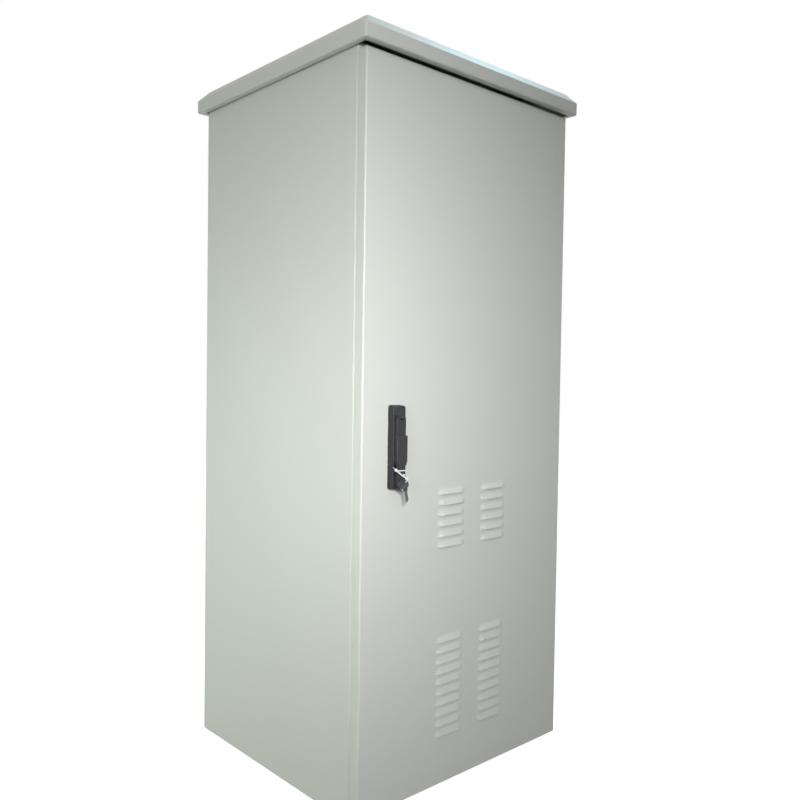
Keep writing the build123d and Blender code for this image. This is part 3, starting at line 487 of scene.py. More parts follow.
@dataclass(frozen=True)
class Coating:
    """One finish: its colours, its gloss and the scale of its texture."""

    first: Colour
    second: Colour
    roughness: float
    texture_scale: float
    texture_strength: float
    tint_scale: float = 3.0
    metallic: float = 0.0
    specular: float = 0.5
    roughness_swing: float = 0.06
    grime: float = 0.0
    grime_colour: Colour = (0.3, 0.27, 0.22)
    grime_reach: float = 0.4
    brushed: bool = False

    def material(self, name: str, groups: EffectGroups) -> bpy.types.Material:
        """Builds the finish's material with the shared effect groups."""
        material, sheet, shader = new_material(name)
        place = grain_place = sheet.add("TexCoord").outputs["Object"]
        if self.brushed:
            stretch = sheet.add("Mapping", {"Vector": place, "Scale": BRUSHED_STRETCH})
            grain_place = stretch.outputs["Vector"]
        tint = sheet.add("Group", node_tree=groups.tint, inputs={
            "Vector": place, "Scale": self.tint_scale,
            "First": (*self.first, 1), "Second": (*self.second, 1)})
        grain = sheet.add("Group", node_tree=groups.texture, inputs={
            "Vector": grain_place, "Scale": self.texture_scale, "Strength": self.texture_strength})
        gloss = sheet.sum("MULTIPLY_ADD", grain.outputs["Height"], self.roughness_swing,
                          self.roughness - self.roughness_swing * MEAN_GRAIN)
        colour = tint.outputs["Color"]
        if self.grime:
            dust = sheet.add("Group", node_tree=groups.grime, inputs={
                "Vector": place, "Reach": self.grime_reach, "Amount": self.grime})
            colour = sheet.mix(dust.outputs["Mask"], colour, (*self.grime_colour, 1))
        for label, value in (("Base Color", colour), ("Roughness", gloss),
                             ("Normal", grain.outputs["Normal"]), ("Metallic", self.metallic),
                             ("Specular IOR Level", self.specular)):
            sheet.feed(shader.inputs[label], value)
        return material


COATINGS: dict[Finish, Coating] = {
    Finish.PAINT: Coating((0.585, 0.600, 0.560), (0.570, 0.583, 0.545), 0.44, 900.0, 0.18,
                          tint_scale=1.6, grime=0.05),
    Finish.PLATED: Coating((0.50, 0.51, 0.53), (0.41, 0.42, 0.44), 0.40, 500.0, 0.15,
                           tint_scale=14.0, metallic=1.0, brushed=True),
    Finish.RUBBER: Coating((0.018, 0.018, 0.018), (0.028, 0.027, 0.026), 0.75, 700.0, 0.4),
    Finish.MOULDING: Coating((0.022, 0.021, 0.025), (0.018, 0.017, 0.021), 0.46, 1400.0, 0.35,
                             specular=0.45),
    Finish.BLACK_COAT: Coating((0.028, 0.028, 0.030), (0.023, 0.023, 0.025), 0.40, 900.0, 0.2),
    # Painted shade: the plated key blade is coloured dark grey for the shadow it lies in, not for
    # its metal.
    Finish.PAINTED_SHADE_BLADE: Coating((0.075, 0.073, 0.070), (0.055, 0.054, 0.052), 0.42, 900.0, 0.3,
                           tint_scale=60.0),
    Finish.MAT: Coating((0.62, 0.62, 0.59), (0.48, 0.48, 0.45), 0.95, 600.0, 1.0, tint_scale=60.0),
    Finish.COPPER: Coating((0.78, 0.42, 0.28), (0.62, 0.33, 0.22), 0.35, 300.0, 0.15,
                           tint_scale=18.0, metallic=1.0),
    Finish.CHROME: Coating((0.82, 0.82, 0.82), (0.76, 0.76, 0.76), 0.14, 300.0, 0.04,
                           tint_scale=30.0, metallic=1.0, roughness_swing=0.03),
    Finish.NYLON: Coating((0.80, 0.80, 0.76), (0.74, 0.74, 0.70), 0.45, 900.0, 0.15),
}

# The key blade takes the painted-shade colour in place of its slot's finish.
OWN_FINISHES: dict[str, Finish] = {"key_blade": Finish.PAINTED_SHADE_BLADE}


class Wardrobe:
    """Makes each finish's material once and puts it on pieces."""

    def __init__(self) -> None:
        """Builds the effect groups and every material."""
        groups = EffectGroups()
        self.materials = {finish: coating.material(finish.value, groups)
                          for finish, coating in COATINGS.items()}

    def dress(self, piece: Object, finish: Finish) -> None:
        """Puts a finish on a piece."""
        piece.data.materials.clear()
        piece.data.materials.append(self.materials[finish])

    def place(self, piece: Object, finish: Finish, body: str, *nodes: str) -> None:
        """Dresses a new piece, hangs it on its body and lets it stand for its frame nodes."""
        self.dress(piece, finish)
        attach(piece, body)
        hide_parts(*nodes)
        log.info("%s: %d faces on body %s", piece.name, len(piece.data.polygons), body)


# ---- sub-assemblies ----


class Roof:
    """The roof cap: fascia, bevelled edge, flat top and a drip return under the eaves.

    Flat is the width of the level strips at both ends of its outer line.
    """

    half_x = 0.3715
    front = -0.3735
    rear = 0.3445
    eaves = 1.6945
    fascia = 0.032
    rise = 0.024
    inset = 0.022
    flat = 0.012
    corner = 0.007
    eaves_bend = 0.004
    fold = 0.0010
    sheet = 0.0015
    opening_half = 0.3555
    opening_front = -0.3550
    opening_rear = 0.325
    opening_corner = 0.0004

    def profile(self) -> Array:
        """Outer line of the cap, as inset and height, from the eaves over the fascia to the top."""
        shoulder = self.eaves + self.fascia
        top = shoulder + self.rise
        return filleted([(self.flat, self.eaves), (0.0, self.eaves), (0.0, shoulder),
                         (self.inset, top), (self.inset + self.flat, top)],
                        [self.eaves_bend, self.fold, self.fold])

    def build(self) -> Object:
        """Builds the cap.

        Each ring is the roof's outline moved in by the profile's inset, at the profile's height;
        the first ring is the edge of the opening in the drip return.
        """
        inset, height = self.profile().T
        half_y, middle_y = span(self.front, self.rear)
        rings = outlines(self.half_x - inset, half_y - inset, self.corner, height,
                         (0.0, middle_y), Axis.Z)
        half_y, middle_y = span(self.opening_front, self.opening_rear)
        hole = outlines(self.opening_half, half_y, self.opening_corner, self.eaves,
                        (0.0, middle_y), Axis.Z)
        shell = Shell()
        shell.add_grid(np.concatenate([hole, rings]), wrap=True)
        shell.add_cap(rings[-1])
        return settle(thicken(shell.piece("roof_cap_sheet"), self.sheet))


@dataclass
class SidePanel:
    """One side of the body: a sheet folded inward at the front and at the back.

    Side is minus one for the left. Support is how far from each bend an extra row of points
    keeps the flat part flat.
    """

    name: str
    side: int
    half_x = 0.35
    front = -0.323
    rear = 0.323
    foot = 0.002
    head = 1.7035
    bend = 0.0055
    sheet = 0.0015
    front_return = 0.03
    rear_return = 0.025
    support = 0.0012

    def build(self) -> Object:
        """Builds the panel: its plan line carried up from foot to head."""
        plan = filleted([(self.half_x - self.front_return, self.front),
                         (self.half_x, self.front), (self.half_x, self.rear),
                         (self.half_x - self.rear_return, self.rear)], [self.bend] * 2, 8)
        first, second = np.split(plan, 2)
        inward, backward = np.array([-self.support, 0.0]), np.array([0.0, self.support])
        plan = np.concatenate([
            first[:1], first[1:2] + inward, first[1:], first[-1:] + backward,
            second[:1] - backward, second[:-1], second[-2:-1] + inward, second[-1:]])
        heights = np.array([self.foot, self.head])
        surface = np.empty((len(heights), len(plan), 3))
        surface[..., 0] = self.side * plan[:, 0]
        surface[..., 1] = plan[:, 1]
        surface[..., 2] = heights[:, None]
        shell = Shell()
        shell.add_grid(surface[::self.side])
        return settle(thicken(shell.piece(f"{self.name}_side_sheet"), self.sheet))


class DoorSkin:
    """The door: a folded tray with four groups of pressed louvres.

    Lip flat is how far up a hood keeps its full depth, brow start is where the rows of its curve
    begin, and the slit parts its lip from the sheet below. Beside and above are the gaps from a
    louvre to the first points of plain sheet. Support is how far from the fold an extra ring
    keeps the flat part flat. Notch start is how far behind the face the hinges' notches begin.
    """

    half_x = 0.35
    foot = 0.016
    head = 1.688
    face = -0.352
    back = -0.332
    free_back = -0.3245
    sheet = 0.0015
    corner = 0.004
    border_corner = 0.0006
    fold_corner = 0.001
    fold = 0.0037
    support = 0.0008
    border = 0.010
    louvre_x = 0.074
    louvre_offset = 0.0037
    louvre_half = 0.047
    shoulder = 0.015
    proud = 0.006
    tall = 0.017
    lip_flat = 0.0012
    slit = 1e-9
    brow_start = 0.0025
    beside = 0.002
    above = 0.001
    straight = 0.7
    pitch = 0.025
    upper_lip = 0.7105
    upper_count = 6
    lower_lip = 0.3585
    lower_count = 10
    hinge_heights = (0.26, 0.852, 1.444)
    notch_half = 0.026
    notch_start = 0.001

    def lips(self) -> Array:
        """Heights of the louvres' open lower edges."""
        upper = self.upper_lip - self.pitch * np.arange(self.upper_count)
        lower = self.lower_lip - self.pitch * np.arange(self.lower_count)
        return np.sort(np.concatenate([upper, lower]))

    def columns(self) -> Array:
        """Places across the door: close together over the louvres' sloping ends."""
        width = 2 * self.louvre_half
        slope = np.linspace(0, self.shoulder, 9)
        flat = np.linspace(self.shoulder, width - self.shoulder, 7)[1:-1]
        one = np.concatenate([slope, flat, width - slope]) - self.louvre_half
        one = np.concatenate([one, [one.min() - self.beside, one.max() + self.beside]])
        fields = self.louvre_offset + np.concatenate([one - self.louvre_x, one + self.louvre_x])
        edges = [-self.half_x + self.border, self.half_x - self.border]
        return np.unique(np.round(np.concatenate([fields, edges]), 7))

    def rows(self) -> tuple[Array, Array]:
        """Heights up the door, with each lip twice: once on the sheet, once on the hood's edge.

        With them comes how far each is above the lip of its louvre, minus one on plain sheet.
        """
        rise = np.concatenate([[0, self.lip_flat], np.linspace(self.brow_start, self.tall, 9)])
        plain = [self.foot + self.border, self.head - self.border]
        pairs: list[tuple[float, float]] = []
        for lip in self.lips():
            plain += [lip - self.lip_flat, lip - self.slit, lip + self.tall + self.above]
            pairs += [(lip + up, up) for up in rise]
        for height in self.hinge_heights:
            plain += [edge for edge in (height - self.notch_half, height + self.notch_half)
                      if not any(lip - self.beside < edge < lip + self.tall + self.beside
                                 for lip in self.lips())]
        heights, above = np.array(sorted(pairs + [(height, -1.0) for height in plain])).T
        return heights, above

    def fall(self, way: Array) -> Array:
        """Falls from one to none as the way goes from none to one: straight, then a parabola."""
        way = np.clip(way, 0, 1)
        slope = 2 / (1 + self.straight)
        return np.where(way < self.straight, 1 - slope * way,
                        slope * (1 - way) ** 2 / (2 - 2 * self.straight))

    def hood(self, x: Array, up: Array) -> Array:
        """How far the louvres stand out of the sheet, (rows, columns).

        The height is the louvre's depth times an end curve across and a brow curve upward. The
        end curve runs over each sloping end and the brow curve over the way up. Both fall on a
        straight line over the first part, then on a parabola that meets the sheet flat.
        """
        reach = self.louvre_half - np.abs(np.abs(x - self.louvre_offset) - self.louvre_x)
        end = self.fall(1 - reach / self.shoulder)
        brow = self.fall((up - self.lip_flat) / (self.tall - self.lip_flat))
        return self.proud * np.where(up < 0, 0.0, brow)[:, None] * end[None]

    def build(self) -> Object:
        """Builds the tray: a face grid with the louvres, and rings round it for fold and flange."""
        x = self.columns()
        z, up = self.rows()
        face = np.empty((len(z), len(x), 3))
        face[..., 0] = x
        face[..., 1] = self.face - self.hood(x, up)
        face[..., 2] = z[:, None]
        slit = (up[1:] == 0.0) & (up[:-1] < 0)
        shell = Shell()
        shell.add_grid(face, keep=~slit[:, None] & np.ones(len(x) - 1, bool))
        shell.add_grid(*self.rim(x, z[up < 0]))
        return settle(thicken(shell.piece("door_skin"), self.sheet))

    def ring(self, x: Array, z: Array, inset: float, level: float, radius: float) -> Array:
        """One ring of the rim: foot, right, head and left side, each with the corner after it.

        The sides keep the border's own places. The level is the ring's place on the depth axis.
        """
        side, low, high = self.half_x - inset, self.foot + inset, self.head - inset
        right, bottom, top = side - radius, low + radius, high - radius
        across, upward = np.clip(x, -right, right), np.clip(z, bottom, top)
        parts = []
        for number, (edge_x, edge_z, middle_x, middle_z) in enumerate((
                (across, low, right, bottom), (side, upward, right, top),
                (across[::-1], high, -right, top), (-side, upward[::-1], -right, bottom))):
            angle = (number - 1) * math.pi / 2 + QUARTER
            parts += [(edge_x, level, edge_z), (middle_x + radius * np.cos(angle), level,
                                                middle_z + radius * np.sin(angle))]
        return np.concatenate([np.stack(np.broadcast_arrays(*part), 1) for part in parts])

    def rim(self, x: Array, z: Array) -> tuple[Array, bool, Array]:
        """Rings from the face's border over the fold to the flange's rear edge.

        The corner radius grows from none at the border to the tray's own. On the free side one
        more strip takes the flange back to just short of the body. With the grid come whether it
        wraps, and which of its quads are kept.
        """
        behind, inward = rounding(self.fold)
        flat = self.fold + self.support
        inset = np.concatenate([[self.border, flat], inward, [0.0, 0.0]])
        level = self.face + np.concatenate([[0.0, 0.0], behind, [flat, self.back - self.face]])
        radius = np.concatenate([[0.0, self.border_corner],
                                 np.linspace(self.fold_corner, self.corner, len(inward)),
                                 [self.corner] * 2])
        grid = np.array([self.ring(x, z, *numbers) for numbers in zip(inset, level, radius)])
        last, after = grid[-1], np.roll(grid[-1], -1, 0)
        at_right = np.minimum(last[:, 0], after[:, 0]) > self.half_x - MERGE_DISTANCE
        away = np.abs((last[:, 2:] + after[:, 2:]) / 2 - self.hinge_heights).min(1)
        keep = np.ones((len(grid) - 1, len(last)), bool)
        notched = np.flatnonzero(level > self.face + self.notch_start)[0]
        keep[notched:, at_right & (away < self.notch_half)] = False
        free = last.copy()
        at_left = free[:, 0] < -self.half_x + MERGE_DISTANCE
        free[at_left, 1] = self.free_back
        keep = np.concatenate([keep, (at_left & np.roll(at_left, -1))[None]])
        return np.concatenate([grid, free[None]])[::-1], True, keep[::-1]


class HandleBase:
    """The handle's base moulding: drafted sides, a rounded edge, a finger pocket and a bore.

    Corner loss is how much the corner radius shrinks for each unit of inset. The pocket insets
    narrow the pocket from its mouth to its floor, over the pocket edge's depth.
    """

    x = -0.2555
    low = 0.736
    high = 0.924
    rear = -0.352
    front = -0.3685
    half = 0.020
    draft = 0.002
    corner = 0.0065
    corner_loss = 0.6
    edge = 0.0015
    pocket_low = 0.766
    pocket_high = 0.7945
    pocket_half = 0.0165
    pocket_deep = 0.005
    pocket_edge = 0.0016
    pocket_corner = 0.003
    pocket_insets = (0.0, 0.0004, 0.0020)
    bore_z = 0.897
    bore = 0.01012
    bore_deep = 0.0065

    def build(self) -> Object:
        """Builds the base: a stack of rounded outlines, less the pocket and the bore."""
        inset, level = block_rings(self.rear, self.front, self.edge, self.draft)
        half_z, middle_z = span(self.low, self.high)
        block = stacked("handle_base_moulding", outlines(
            self.half - inset, half_z - inset, self.corner - self.corner_loss * inset, level,
            (self.x, middle_z), Axis.Y))
        narrow = np.array(self.pocket_insets)
        half_z, middle_z = span(self.pocket_low, self.pocket_high)
        depth = np.array([-CUT_MARGIN, self.pocket_deep - self.pocket_edge, self.pocket_deep])
        pocket = stacked("finger_pocket", outlines(
            self.pocket_half - narrow, half_z - narrow, self.pocket_corner, self.front + depth,
            (self.x, middle_z), Axis.Y))
        bore = disc("spindle_bore", (self.x, self.bore_z), self.bore,
                    self.front + np.array([-CUT_MARGIN, self.bore_deep]), 8)
        return carve(block, cut=[pocket, bore])


class Lever:
    """The handle's lever: a neck below the hinge, a prouder grip, a stem and a lock boss.

    Back is the radius of the neck's rear edge round the hinge. The relief is a shallow groove
    behind the stem, for the tie.
    """

    x = -0.2555
    hinge_z = 0.897
    hinge_y = -0.3722
    back = 0.00338
    rear = -0.3688
    edge = 0.0012
    neck_half = 0.014
    neck_front = -0.3745
    neck_low = 0.846
    crown = 0.007
    stem_half = 0.012
    stem_front = -0.3770
    stem_lap = 0.002
    stem_corner = 0.002
    slot_half = 0.0052
    slot_tall = 0.006
    slot_deep = 0.0071
    slot_corner = 0.0002
    grip_low = 0.790
    grip_high = 0.8565
    grip_half = 0.015
    grip_front = -0.3795
    grip_taper = 0.010
    grip_narrow = 0.0035
    grip_bends = (0.002, 0.006, 0.0015)
    boss_z = 0.748
    boss = 0.013
    boss_front = -0.3790
    bore = 0.00906
    relief_wide = 0.03
    relief_z = 0.7795
    relief_half = 0.0095
    relief_deep = 0.002
    relief_corner = 0.0004

    def neck(self) -> Object:
        """The neck: rounded rectangles from rear to front.

        Behind the hinge the outline's top follows a circle round the hinge, so that the lever
        clears the base as it lifts: its height is the hinge's plus the radius times the sine of
        the turn, where its depth is the radius times the cosine.
        """
        turn = np.linspace(0, math.pi / 2, 6)
        inset, drop = rounding(self.edge)
        level = np.concatenate([self.hinge_y + self.back * np.cos(turn), self.neck_front + drop])
        top = self.hinge_z + np.concatenate([self.back * np.sin(turn), self.back - inset])
        inset = np.concatenate([np.zeros(len(turn)), inset])
        half_z, middle_z = span(self.neck_low, top)
        return stacked("handle_lever_moulding", outlines(
            self.neck_half - inset, half_z, self.crown - inset, level, (self.x, middle_z), Axis.Y))

    def stem(self) -> Object:
        """The stem: one rounded outline from inside the grip down to the lock boss."""
        inset, level = block_rings(self.rear, self.stem_front, self.edge)
        half_z, middle_z = span(self.boss_z, self.neck_low)
        return stacked("stem", outlines(
            self.stem_half - inset, half_z + self.stem_lap - inset, self.stem_corner, level,
            (self.x, middle_z), Axis.Y))

    def grip(self) -> Object:
        """The grip: one outline with a tapered lower end, with its front edge rounded."""
        narrow, wide = self.grip_half - self.grip_narrow, self.grip_half
        low, bend, high = self.grip_low, self.grip_low + self.grip_taper, self.grip_high
        outline = filleted(
            [(0, low), (narrow, low), (wide, bend), (wide, high),
             (-wide, high), (-wide, bend), (-narrow, low), (0, low)],
            [*self.grip_bends, *self.grip_bends[::-1]])[:-1] + (self.x, 0)
        inset, level = block_rings(self.rear, self.grip_front, self.edge)
        return stacked("grip", prism(outline, inset, level, Axis.Y))

    def build(self) -> Object:
        """Builds the lever: neck, stem, grip and boss in one, less slot, tie relief and bore."""
        inset, level = block_rings(self.rear, self.boss_front, self.edge)
        lock = (self.x, self.boss_z)
        boss = disc("boss", lock, self.boss - inset, level)
        slot = stacked("tongue_slot", outlines(
            self.slot_half, self.slot_tall, self.slot_corner,
            self.rear + np.array([CUT_MARGIN, -self.slot_deep]), (self.x, self.hinge_z), Axis.Y))
        relief = stacked("tie_relief", outlines(
            self.relief_wide, self.relief_half, self.relief_corner,
            self.rear + np.array([CUT_MARGIN, -self.relief_deep]), (self.x, self.relief_z), Axis.Y))
        bore = disc("barrel_bore", lock, self.bore,
                    np.array([self.rear + CUT_MARGIN, self.boss_front - CUT_MARGIN]))
        return carve(self.neck(), [self.stem(), self.grip(), boss], [slot, relief, bore])


class KeyBow:
    """The key's moulded bow: an oval with a raised rim, a hole for the tie and a neck.

    Its shares and lifts say where the rings of its front lie between middle and edge, and how
    far each rises from the web to the rim. The ends are the last heights, as shares of the rim's.
    """

    at = (-0.2598, -0.3880, 0.7499)
    turn = 28.0
    lean = 9.0
    half_across = 0.0122
    half_up = 0.0105
    rim = 0.0020
    web = 0.0009
    shares = (0.03, 0.3, 0.58, 0.63, 0.68, 0.73, 0.80, 0.87, 0.92, 0.96, 0.985, 1)
    lifts = (0, 0, 0, 0.15, 0.6, 0.95, 1, 1, 0.93, 0.72, 0.42, 0)
    ends = (0.80, 0.50, 0.0)
    hole_out = 0.0082
    hole_turn = 39.0
    hole = 0.0020
    hole_reach = 0.004
    neck_right = 0.003
    neck_half = 0.0047
    neck_up = 0.003
    neck_thick = 0.0017
    neck_corner = 0.001
    neck_bevel = 0.0005

    def axes(self) -> Array:
        """The bow's own axes, as rows: across, up and out of its face."""
        turn, lean = math.radians(self.turn), math.radians(self.lean)
        across = np.array([math.cos(turn) * math.cos(lean), -math.sin(turn) * math.cos(lean),
                           math.sin(lean)])
        out = np.array([-math.sin(turn), -math.cos(turn), 0.0])
        return np.array([across, np.cross(out, across), out])

    def to_frame(self, local: Array) -> Array:
        """Turns points from the bow's own axes into the frame's."""
        return np.asarray(self.at) + np.asarray(local, float) @ self.axes()

    def hole_way(self) -> Array:
        """Direction from the bow's middle to its hole, in the bow's own axes."""
        turn = math.radians(self.hole_turn)
        return np.array([math.cos(turn), math.sin(turn), 0.0])

    def oval(self) -> Array:
        """Rings of the bow from the middle of its front, over the rim, to the middle of its back.

        A ring is an ellipse of the bow's half sizes times its share, and stands out by its
        height: the web's over the middle, rising to the rim's, and rounded off to nothing.
        """
        height = self.web + (self.rim - self.web) * np.array(self.lifts)
        height[-3:] = self.rim * np.array(self.ends)
        height = np.concatenate([height, -height[-2::-1]])
        share = np.array([*self.shares, *self.shares[-2::-1]])[:, None]
        angle = np.linspace(0, 2 * math.pi, 56, endpoint=False)
        local = np.empty((len(share), len(angle), 3))
        local[..., 0] = self.half_across * share * np.cos(angle)
        local[..., 1] = self.half_up * share * np.sin(angle)
        local[..., 2] = height[:, None]
        return self.to_frame(local)

    def build(self) -> Object:
        """Builds the bow: its oval and neck in one, less the hole."""
        bevel = self.neck_bevel * np.array([1, 0, 0, 1])
        thick = self.neck_thick * np.array([-1, -0.75, 0.75, 1])
        neck = stacked("bow_neck", self.to_frame(outlines(
            self.neck_half - bevel, self.neck_up - bevel, self.neck_corner, thick,
            (self.neck_right, -self.half_up), Axis.Z)))
        hole = stacked("bow_hole", self.to_frame(outlines(
            self.hole, self.hole, self.hole, self.hole_reach * np.array([-1, 1]),
            tuple(self.hole_out * self.hole_way()[:2]), Axis.Z, 6)))
        return carve(stacked("key_bow_moulding", self.oval()), [neck], [hole], 50.0)


@dataclass
class KeyTie:
    """The white tie: a strap round the lever's stem, a knot, and a twisted strand to the key.

    The strand starts a little off the knot's middle, sags, and narrows toward the key. The loop
    passes through the bow's hole, past its rim by the loop's gap. The tuft is a coil of cord.
    """

    bow: KeyBow
    x = -0.2555
    z = 0.7795
    slope = -0.035
    middle_y = -0.3739
    half_x = 0.0133
    half_y = 0.0040
    strap_corner = 0.0016
    strap_thick = 0.00055
    strap_tall = 0.0013
    knot_at = (-0.2713, -0.3757, 0.7812)
    knot_half = (0.0032, 0.0034, 0.0034)
    tip_at = (-0.2795, -0.3760, 0.7883)
    tip_radii = (0.0011, 0.0005)
    strand_from = (0.0016, -0.0022, -0.0012)
    strand_sag = 0.0012
    strand_wide = 0.0011
    strand_radii = (0.00105, 0.00075)
    strand_turns = 3.5
    cord = 0.0007
    loop_gap = 0.0037
    loop_half = 0.0036
    loop_deep = 0.0031
    tuft_at = (-0.2575, -0.3872, 0.7712)
    tuft_way = (0.72, -0.52, -0.46)
    tuft_long = 0.0042
    tuft_radius = 0.0012
    tuft_turns = 2.5

    def strap(self) -> Array:
        """The strap: a rounded band carried round the stem's plan.

        A point is the plan's point, plus the plan's outward normal times the band's half
        thickness times the cosine of its angle, and rises by its half height times the sine.
        Powers below one make the band's section squarer than an ellipse.
        """
        ring = outlines(self.half_x, self.half_y, self.strap_corner, self.z,
                        (self.x, self.middle_y), Axis.Z, 5)[0]
        step = np.roll(ring, -1, 0) - np.roll(ring, 1, 0)
        normal = np.stack([step[:, 1], -step[:, 0], np.zeros(len(ring))], 1)
        normal /= np.linalg.norm(normal, axis=1, keepdims=True)
        angle = np.linspace(0, 2 * math.pi, 12, endpoint=False)
        flat = np.sign(np.cos(angle)) * np.abs(np.cos(angle)) ** 0.5
        tall = np.sign(np.sin(angle)) * np.abs(np.sin(angle)) ** 0.7
        band = ring[:, None] + self.strap_thick * flat[None, :, None] * normal[:, None]
        band[..., 2] += self.strap_tall * tall + self.slope * (ring[:, :1] - self.x)
        return np.concatenate([band, band[:1]])

    def knot(self) -> Array:
        """The knot: an egg shape whose radius swells a tenth with the turns of the strand."""
        down = np.linspace(0.06, math.pi - 0.06, 14)[:, None]
        about = np.linspace(0, 2 * math.pi, 20, endpoint=False)[None]
        swell = 1 + 0.10 * np.sin(3 * down + 2 * about)
        unit = np.stack([np.sin(down) * np.cos(about), np.sin(down) * np.sin(about),
                         np.cos(down) * np.ones_like(about)], -1)
        return np.asarray(self.knot_at) + unit * swell[..., None] * np.asarray(self.knot_half)

    def loop_middle(self) -> Array:
        """The loop's middle, on the bow's line through its hole."""
        return self.bow.to_frame(self.bow.hole_way() * (self.bow.hole_out + self.loop_gap))

    def strands(self) -> list[Array]:
        """The two strands, twisted round each other from the knot to the key.

        Each is a tube round the straight run plus its half width times (cosine of the twist
        times one side vector plus sine times the other).
        """
        start = np.asarray(self.knot_at) + self.strand_from
        end = self.loop_middle() + self.loop_half * self.bow.hole_way() @ self.bow.axes()
        way = np.linspace(0, 1, 60)[:, None]
        run = start + way * (end - start)
        run[:, 2] -= self.strand_sag * np.sin(math.pi * way[:, 0])
        first, second = frame_of(run)
        wide = self.strand_wide * (1 - 0.75 * way ** 2)
        radius = np.interp(way[:, 0], (0, 1), self.strand_radii)
        made = []
        for phase in (0.0, math.pi):
            twist = 2 * math.pi * self.strand_turns * way + phase
            line = run + wide * (np.cos(twist) * first + np.sin(twist) * second)
            made.append(tube(line, radius, 10))
        return made

    def loop(self) -> Array:
        """The loop through the bow's hole: an ellipse across the rim."""
        angle = np.linspace(0, 2 * math.pi, 33)[:, None]
        local = (self.loop_half * np.cos(angle) * self.bow.hole_way()
                 + self.loop_deep * np.sin(angle) * (0, 0, 1))
        return tube(self.loop_middle() + local @ self.bow.axes(), self.cord, 10)

    def tuft(self) -> Array:
        """The curl on the strand: a short coil of one radius."""
        angle = np.linspace(0, 2 * math.pi * self.tuft_turns, 50)[:, None]
        along = np.array(self.tuft_way) / np.linalg.norm(self.tuft_way)
        side = np.cross(along, (0, 0, 1.0))
        side /= np.linalg.norm(side)
        rise = np.linspace(-0.5, 0.5, len(angle))[:, None] * self.tuft_long
        coil = self.tuft_radius * (np.cos(angle) * side + np.sin(angle) * np.cross(side, along))
        return tube(np.asarray(self.tuft_at) + along * rise + coil, self.cord, 8)

    def tip(self) -> Array:
        """The cut end: a tube that narrows away from the knot."""
        way = np.linspace(0, 1, 12)
        knot = np.asarray(self.knot_at)
        line = knot + way[:, None] * (np.asarray(self.tip_at) - knot)
        return tube(line, np.interp(way, (0, 1), self.tip_radii), 8)

    def build(self) -> Object:
        """Builds the tie as one piece of closed shapes."""
        shell = Shell()
        shell.add_grid(self.strap(), wrap=True)
        for shape in (self.knot(), *self.strands(), self.loop(), self.tuft(), self.tip()):
            shell.add_stack(shape)
        return settle(shell.piece("key_tie_strands", closed=True), 60.0)


# ---- the studio ----


@dataclass(frozen=True)
class Lamp:
    """A square area lamp that the camera doesn't see.

    It stands at a place and faces its aim, with the length of its side, its power in watts, its
    colour and the full angle of its beam.
    """

    name: str
    at: Point
    aim: Point
    size: float
    power: float
    colour: Colour = (1, 1, 1)
    spread: float = math.pi

    def build(self) -> None:
        """Puts the lamp in the scene."""
        light = bpy.data.lights.new(self.name, "AREA")
        light.spread = self.spread
        light.size = self.size
        light.energy = self.power
        light.color = self.colour
        stand = linked(self.name, light)
        stand.visible_camera = False
        stand.location = self.at
        facing = Vector(self.aim) - Vector(self.at)
        stand.rotation_euler = facing.to_track_quat("-Z", "Y").to_euler()


LAMPS = (
    Lamp("front_lamp", (-1.606, -2.322, 1.513), (-0.307, 0.078, 0.807), 0.5, 7.2, spread=0.986),
    Lamp("corner_lamp", (-2.43, -1.5, 1.15), (-0.35, -0.3, 0.8), 0.4, 1.5, spread=1.2),
    Lamp("side_lamp", (-1.667, 0.813, 0.5), (-0.35, 0, 0.85), 1.5, 10.9, (0.80, 1.0, 0.78)),
    Lamp("high_lamp", (-0.6, -1.9, 2.9), (0, -0.35, 0.3), 0.4, 1.6, (0.94, 0.98, 1.0), 1.3),
    Lamp("roof_lamp", (2.2, -0.1, 4.5), (0, -0.1, 1.73), 0.6, 1.55, (0.52, 0.88, 1.0), 0.6),
    Lamp("back_lamp", (1.9, 2.3, 1.5), (0.1, 0.2, 0.9), 1.2, 16.0, spread=1.2),
)


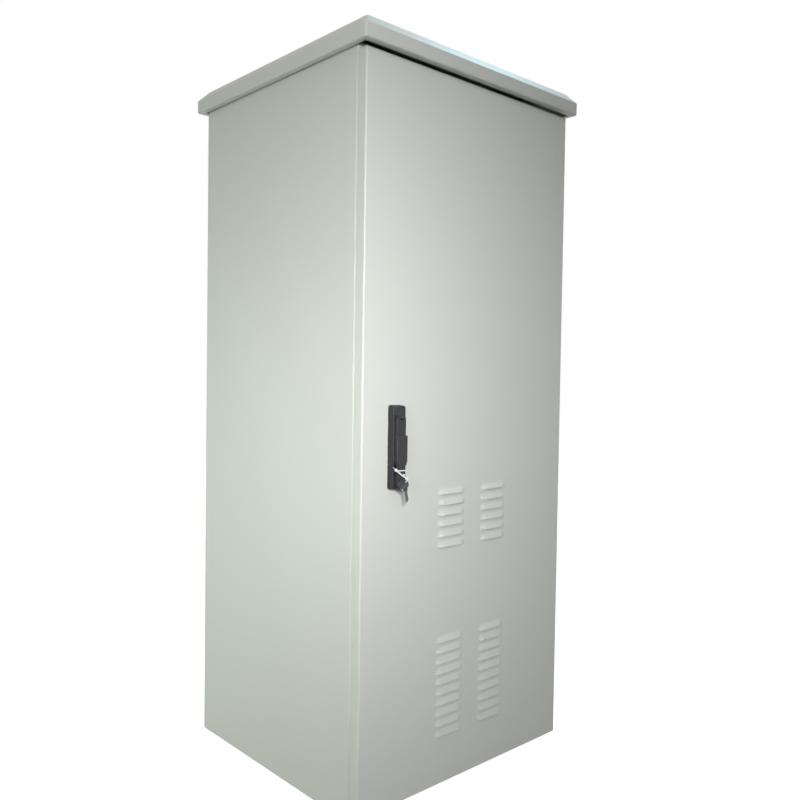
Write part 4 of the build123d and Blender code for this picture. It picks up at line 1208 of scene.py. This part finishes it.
class Studio:
    """Floor, backdrop light, lamps and the camera.

    Ambient is the strength of the even light, and the floor's glow is how white it shows.
    """

    camera_at = (-1.4598, -1.6902, 0.9892)
    yaw = 42.333
    pitch = -1.735
    roll = 0.835
    lens = 36.506
    sensor = 36.0
    ambient = 0.225
    floor_half = 6.0
    floor_colour = (0.3, 0.3, 0.295)
    floor_roughness = 0.9
    floor_glow = 0.93

    def camera(self) -> None:
        """Sets the camera: its axes follow from yaw, pitch and roll."""
        yaw, pitch, roll = (math.radians(v) for v in (self.yaw, self.pitch, self.roll))
        ahead = Vector((math.sin(yaw) * math.cos(pitch), math.cos(yaw) * math.cos(pitch),
                        math.sin(pitch)))
        level = Vector((math.cos(yaw), -math.sin(yaw), 0))
        right = level * math.cos(roll) + level.cross(ahead) * math.sin(roll)
        lens = bpy.data.cameras.new("photo_camera")
        lens.lens = self.lens
        lens.sensor_width = self.sensor
        lens.sensor_fit = "HORIZONTAL"
        eye = linked("photo_camera", lens)
        turn = Matrix((right, right.cross(ahead), -ahead)).transposed().to_4x4()
        eye.matrix_world = Matrix.Translation(self.camera_at) @ turn
        bpy.context.scene.camera = eye

    @staticmethod
    def seen(sheet: NodeSheet) -> Socket:
        """One for camera, glossy and transmission rays, and none for the light on the object."""
        path = sheet.add("LightPath")
        direct = sheet.sum("MAXIMUM", path.outputs["Is Camera Ray"], path.outputs["Is Glossy Ray"])
        return sheet.sum("MAXIMUM", direct, path.outputs["Is Transmission Ray"])

    def world(self) -> None:
        """Lights the scene evenly, and shows white behind the object."""
        world = bpy.data.worlds.new("studio")
        world.use_nodes = True
        bpy.context.scene.world = world
        sheet = NodeSheet(world.node_tree)
        background = world.node_tree.nodes["Background"]
        sheet.feed(background.inputs["Color"], (1, 1, 1, 1))
        sheet.feed(background.inputs["Strength"], sheet.sum(
            "MULTIPLY_ADD", self.seen(sheet), 1.0 - self.ambient, self.ambient))

    def floor(self) -> None:
        """A pale floor that shows near white and keeps a soft shadow."""
        half = self.floor_half
        mesh = bpy.data.meshes.new("floor")
        mesh.from_pydata([(-half, -half, 0), (half, -half, 0), (half, half, 0), (-half, half, 0)],
                         [], [(0, 1, 2, 3)])
        material, sheet, shader = new_material("floor")
        glow = sheet.sum("MULTIPLY", self.seen(sheet), self.floor_glow)
        for label, value in (("Base Color", (*self.floor_colour, 1)),
                             ("Roughness", self.floor_roughness),
                             ("Emission Color", (1, 1, 1, 1)), ("Emission Strength", glow)):
            sheet.feed(shader.inputs[label], value)
        mesh.materials.append(material)
        linked("floor", mesh)

    def build(self) -> None:
        """Sets up the floor, the lights, the camera and the view transform."""
        self.floor()
        self.world()
        for lamp in LAMPS:
            lamp.build()
        self.camera()
        bpy.context.scene.view_settings.view_transform = "Standard"


def dress_frame(frame: dict, wardrobe: Wardrobe) -> None:
    """Gives every frame node that still shows its finish."""
    for part in frame["record"]["subparts"]:
        node = frame["nodes"][part["node"]]
        if not node.hide_render:
            finish = OWN_FINISHES.get(part["node"], Finish(part["material_slot"]))
            wardrobe.dress(node, finish)
    log.info("frame dressed")


def main() -> None:
    """Builds the cabinet's looks in order."""
    logging.basicConfig(level=logging.INFO, format="%(name)s %(message)s")
    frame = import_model()
    wardrobe = Wardrobe()
    bow = KeyBow()
    for maker, finish, body, node in (
            (Roof(), Finish.PAINT, "cabinet", "roof_cap"),
            (SidePanel("left", -1), Finish.PAINT, "cabinet", "left_side_panel"),
            (SidePanel("right", 1), Finish.PAINT, "cabinet", "right_side_panel"),
            (DoorSkin(), Finish.PAINT, "door", "door_shell"),
            (HandleBase(), Finish.MOULDING, "door", "handle_base"),
            (Lever(), Finish.MOULDING, "lever", "handle_lever"),
            (bow, Finish.MOULDING, "lever", "key_bow"),
            (KeyTie(bow), Finish.NYLON, "lever", "key_tie")):
        wardrobe.place(maker.build(), finish, body, node)
    dress_frame(frame, wardrobe)
    Studio().build()


if __name__ == "__main__":
    main()
